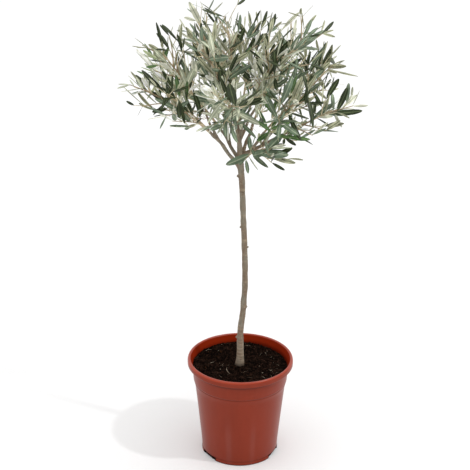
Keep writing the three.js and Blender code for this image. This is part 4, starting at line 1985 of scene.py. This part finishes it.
@dataclass
class Crown:
    """The twigs and leaves of every mass."""

    growth: Growth
    tint_seed: int = 4241
    old: TwigSkin = TwigSkin("twig_old", seen(198, 180, 150), seen(146, 126, 100))
    young: TwigSkin = TwigSkin("twig_young", seen(222, 208, 176), seen(178, 168, 132))
    forms: tuple[LeafForm, ...] = (
        LeafForm(0.177, 0.10, -0.05, 0.012, 0.05),
        LeafForm(0.197, -0.22, 0.04, -0.015, -0.2),
        LeafForm(0.158, 0.16, -0.14, 0.03, 0.3),
        LeafForm(0.212, 0.05, 0.02, -0.01, -0.08),
        LeafForm(0.166, -0.3, 0.12, 0.02, 0.15),
        LeafForm(0.188, 0.2, -0.2, -0.02, 0.45),
    )

    def build(self) -> None:
        """Makes the twigs and leaves."""
        nodes = [f"leaves_{limb.name}" for limb in LIMBS]
        kinds = (
            ("woody_twigs", True, 8, self.old, "bark"),
            ("young_twigs", False, 6, self.young, "foliage"),
        )
        for name, woody, sides, finish, slot in kinds:
            lines = [(t.points, t.radii) for t in self.growth.twigs if t.woody is woody]
            declare(tubes(name, lines, sides, finish.paint()), slot, *nodes)
        shapes = bpy.data.collections.new("leaf_forms")
        for number, form in enumerate(self.forms):
            shapes.objects.link(bpy.data.objects.new(f"form_{number}", form.mesh(f"form_{number}")))
        tints, graph = self.dealt(), leaf_graph()
        for tint, foliage in FOLIAGE.items():
            leaves = [leaf for leaf in self.growth.leaves if tints[leaf.spray] is tint]
            values = {"Forms": shapes, **foliage.paints(tint)}
            piece = graph.mesh(self.spots(leaves), f"leaves_{tint.value}", values)
            declare(piece, "foliage", *nodes)
        for shape in list(shapes.objects):
            bpy.data.objects.remove(shape)
        bpy.data.collections.remove(shapes)

    def dealt(self) -> list[Tint]:
        """Deals out the tints by spray, by the shares of the tints at its place.

        Returns:
            The tint of each spray.
        """
        chance, tints = Chance(self.tint_seed), []
        places = {leaf.spray: self.growth.rule.outness(leaf.root) for leaf in self.growth.leaves}
        for spray in range(self.growth.sprays):
            out = places.get(spray, 0.0)
            shares = {tint: f.inner + (f.outer - f.inner) * out for tint, f in FOLIAGE.items()}
            draw = chance() * sum(shares.values())
            for tint, share in shares.items():
                draw -= share
                if draw <= 0:
                    break
            tints.append(tint)
        return tints

    def spots(self, leaves: list[Leaf]) -> Piece:
        """Makes points with the turns, sizes and forms of some leaves, for the leaf tree.

        Args:
            leaves: The leaves.

        Returns:
            An object with a point for each leaf.
        """
        turns, sizes = [], []
        for leaf in leaves:
            across = unit(np.cross(leaf.way, leaf.face))
            axes = np.column_stack([across, leaf.way, np.cross(across, leaf.way)])
            turns.append(tuple(Matrix(axes.tolist()).to_euler()))
            sizes.append((leaf.length * leaf.width * MM, leaf.length * MM, leaf.length * MM))
        mesh = mesh_of("spots", [leaf.root for leaf in leaves], [], [])
        store(mesh, "turn", "FLOAT_VECTOR", turns)
        store(mesh, "size", "FLOAT_VECTOR", sizes)
        store(mesh, "form", "INT", [leaf.form for leaf in leaves])
        return shown("spots", mesh)


# The studio


@dataclass
class Studio:
    """A pale floor, painted paler away from the pot as painted light, a soft white surround, one soft
    lamp, and the camera.

    The floor is in millimetres, and its fade, the lamp and the camera are in metres.
    """

    floor_half: float = 30000.0
    floor_level: float = -0.2
    floor_near: float = 0.91
    floor_far: float = 0.98
    floor_fade: Range = (0.3, 0.9)
    sky: float = 0.72
    sky_low: float = 0.38
    sky_low_reach: float = 0.14
    sky_top: float = 0.78
    sky_front: float = -0.08
    sky_right: float = -0.19
    lamp_aim: Triple = (0.0, 0.0, 0.2)
    lamp_way: Triple = (0.573, -0.27, 0.773)
    lamp_distance: float = 2.2
    lamp_size: float = 0.1
    lamp_power: float = 11.5
    camera_place: Triple = (-0.0089, -2.294, 1.465)
    camera_tilt: float = 66.61
    lens: float = 99.57

    def build(self) -> None:
        """Sets the floor, the surround, the lamp, the camera and the view transform."""
        half, level = self.floor_half, self.floor_level
        corners = [(x * half, y * half, level) for x, y in ((-1, -1), (1, -1), (1, 1), (-1, 1))]
        floor = shown("floor", mesh_of("floor", corners, [], [(0, 1, 2, 3)]))
        p = Paint("floor_white", Roughness=0.9, Specular_IOR_Level=0.0)
        # Painted light: the floor's colour grows paler away from the pot, standing in for lamp light that
        # falls off there.
        away = p.node("ShaderNodeVectorMath", {"operation": "LENGTH"}, {0: p.place()}, 1)
        near, far = (self.floor_near,) * 3, (self.floor_far,) * 3
        p.feed("Base Color", p.mix(p.steps(away, *self.floor_fade), near, far))
        floor.data.materials.append(p.material)
        scene = bpy.context.scene
        scene.world = self.dome()
        light = bpy.data.lights.new("key", "AREA")
        light.shape, light.size, light.energy = "DISK", self.lamp_size, self.lamp_power
        aim = Vector(self.lamp_aim)
        lamp = self.stood("key", light, Vector(self.lamp_way) * self.lamp_distance + aim)
        lamp.rotation_euler = (lamp.location - aim).to_track_quat("Z", "Y").to_euler()
        eye = bpy.data.cameras.new("camera")
        eye.lens, eye.sensor_width, eye.clip_end = self.lens, 36.0, 100.0
        scene.camera = self.stood("camera", eye, Vector(self.camera_place))
        scene.camera.rotation_euler = (math.radians(self.camera_tilt), 0.0, 0.0)
        scene.view_settings.view_transform = "Standard"

    def stood(self, name: str, data: bpy.types.ID, place: Vector) -> Piece:
        """Stands a lamp or a camera in the scene.

        Args:
            name: The object's name.
            data: The lamp or camera.
            place: Where it stands.

        Returns:
            The object.
        """
        made = bpy.data.objects.new(name, data)
        made.location = place
        bpy.context.scene.collection.objects.link(made)
        return made

    def dome(self) -> bpy.types.World:
        """The soft white surround: brighter overhead and low down, darker to the front and right.

        Returns:
            The world.
        """
        world = bpy.data.worlds.new("studio")
        world.use_nodes = True
        w = Wiring(world.node_tree)
        x, y, z = (w.axis(w.node("ShaderNodeTexCoord"), k) for k in range(3))
        light = self.sky + self.sky_top * z.above(0.0) ** 2
        light = light + self.sky_low / self.sky_low_reach * (self.sky_low_reach - z).above(0.0)
        light = light + self.sky_front * (0.0 - y).above(0.0) + self.sky_right * x.above(0.0)
        sky = w.tree.nodes["Background"]
        w.join(sky.inputs["Strength"], light)
        w.join(sky.inputs["Color"], (1.0, 1.0, 1.0))
        return world


def main() -> None:
    """Builds every piece in order."""
    logging.basicConfig(level=logging.INFO, format="%(name)s: %(message)s")
    growth = Growth()
    log.info("%d twigs, %d leaves, %d sprays", len(growth.twigs), len(growth.leaves), growth.sprays)
    Pot().build()
    Compost().build()
    Wood(growth).build()
    Crown(growth).build()
    Studio().build()


if __name__ == "__main__":
    main()
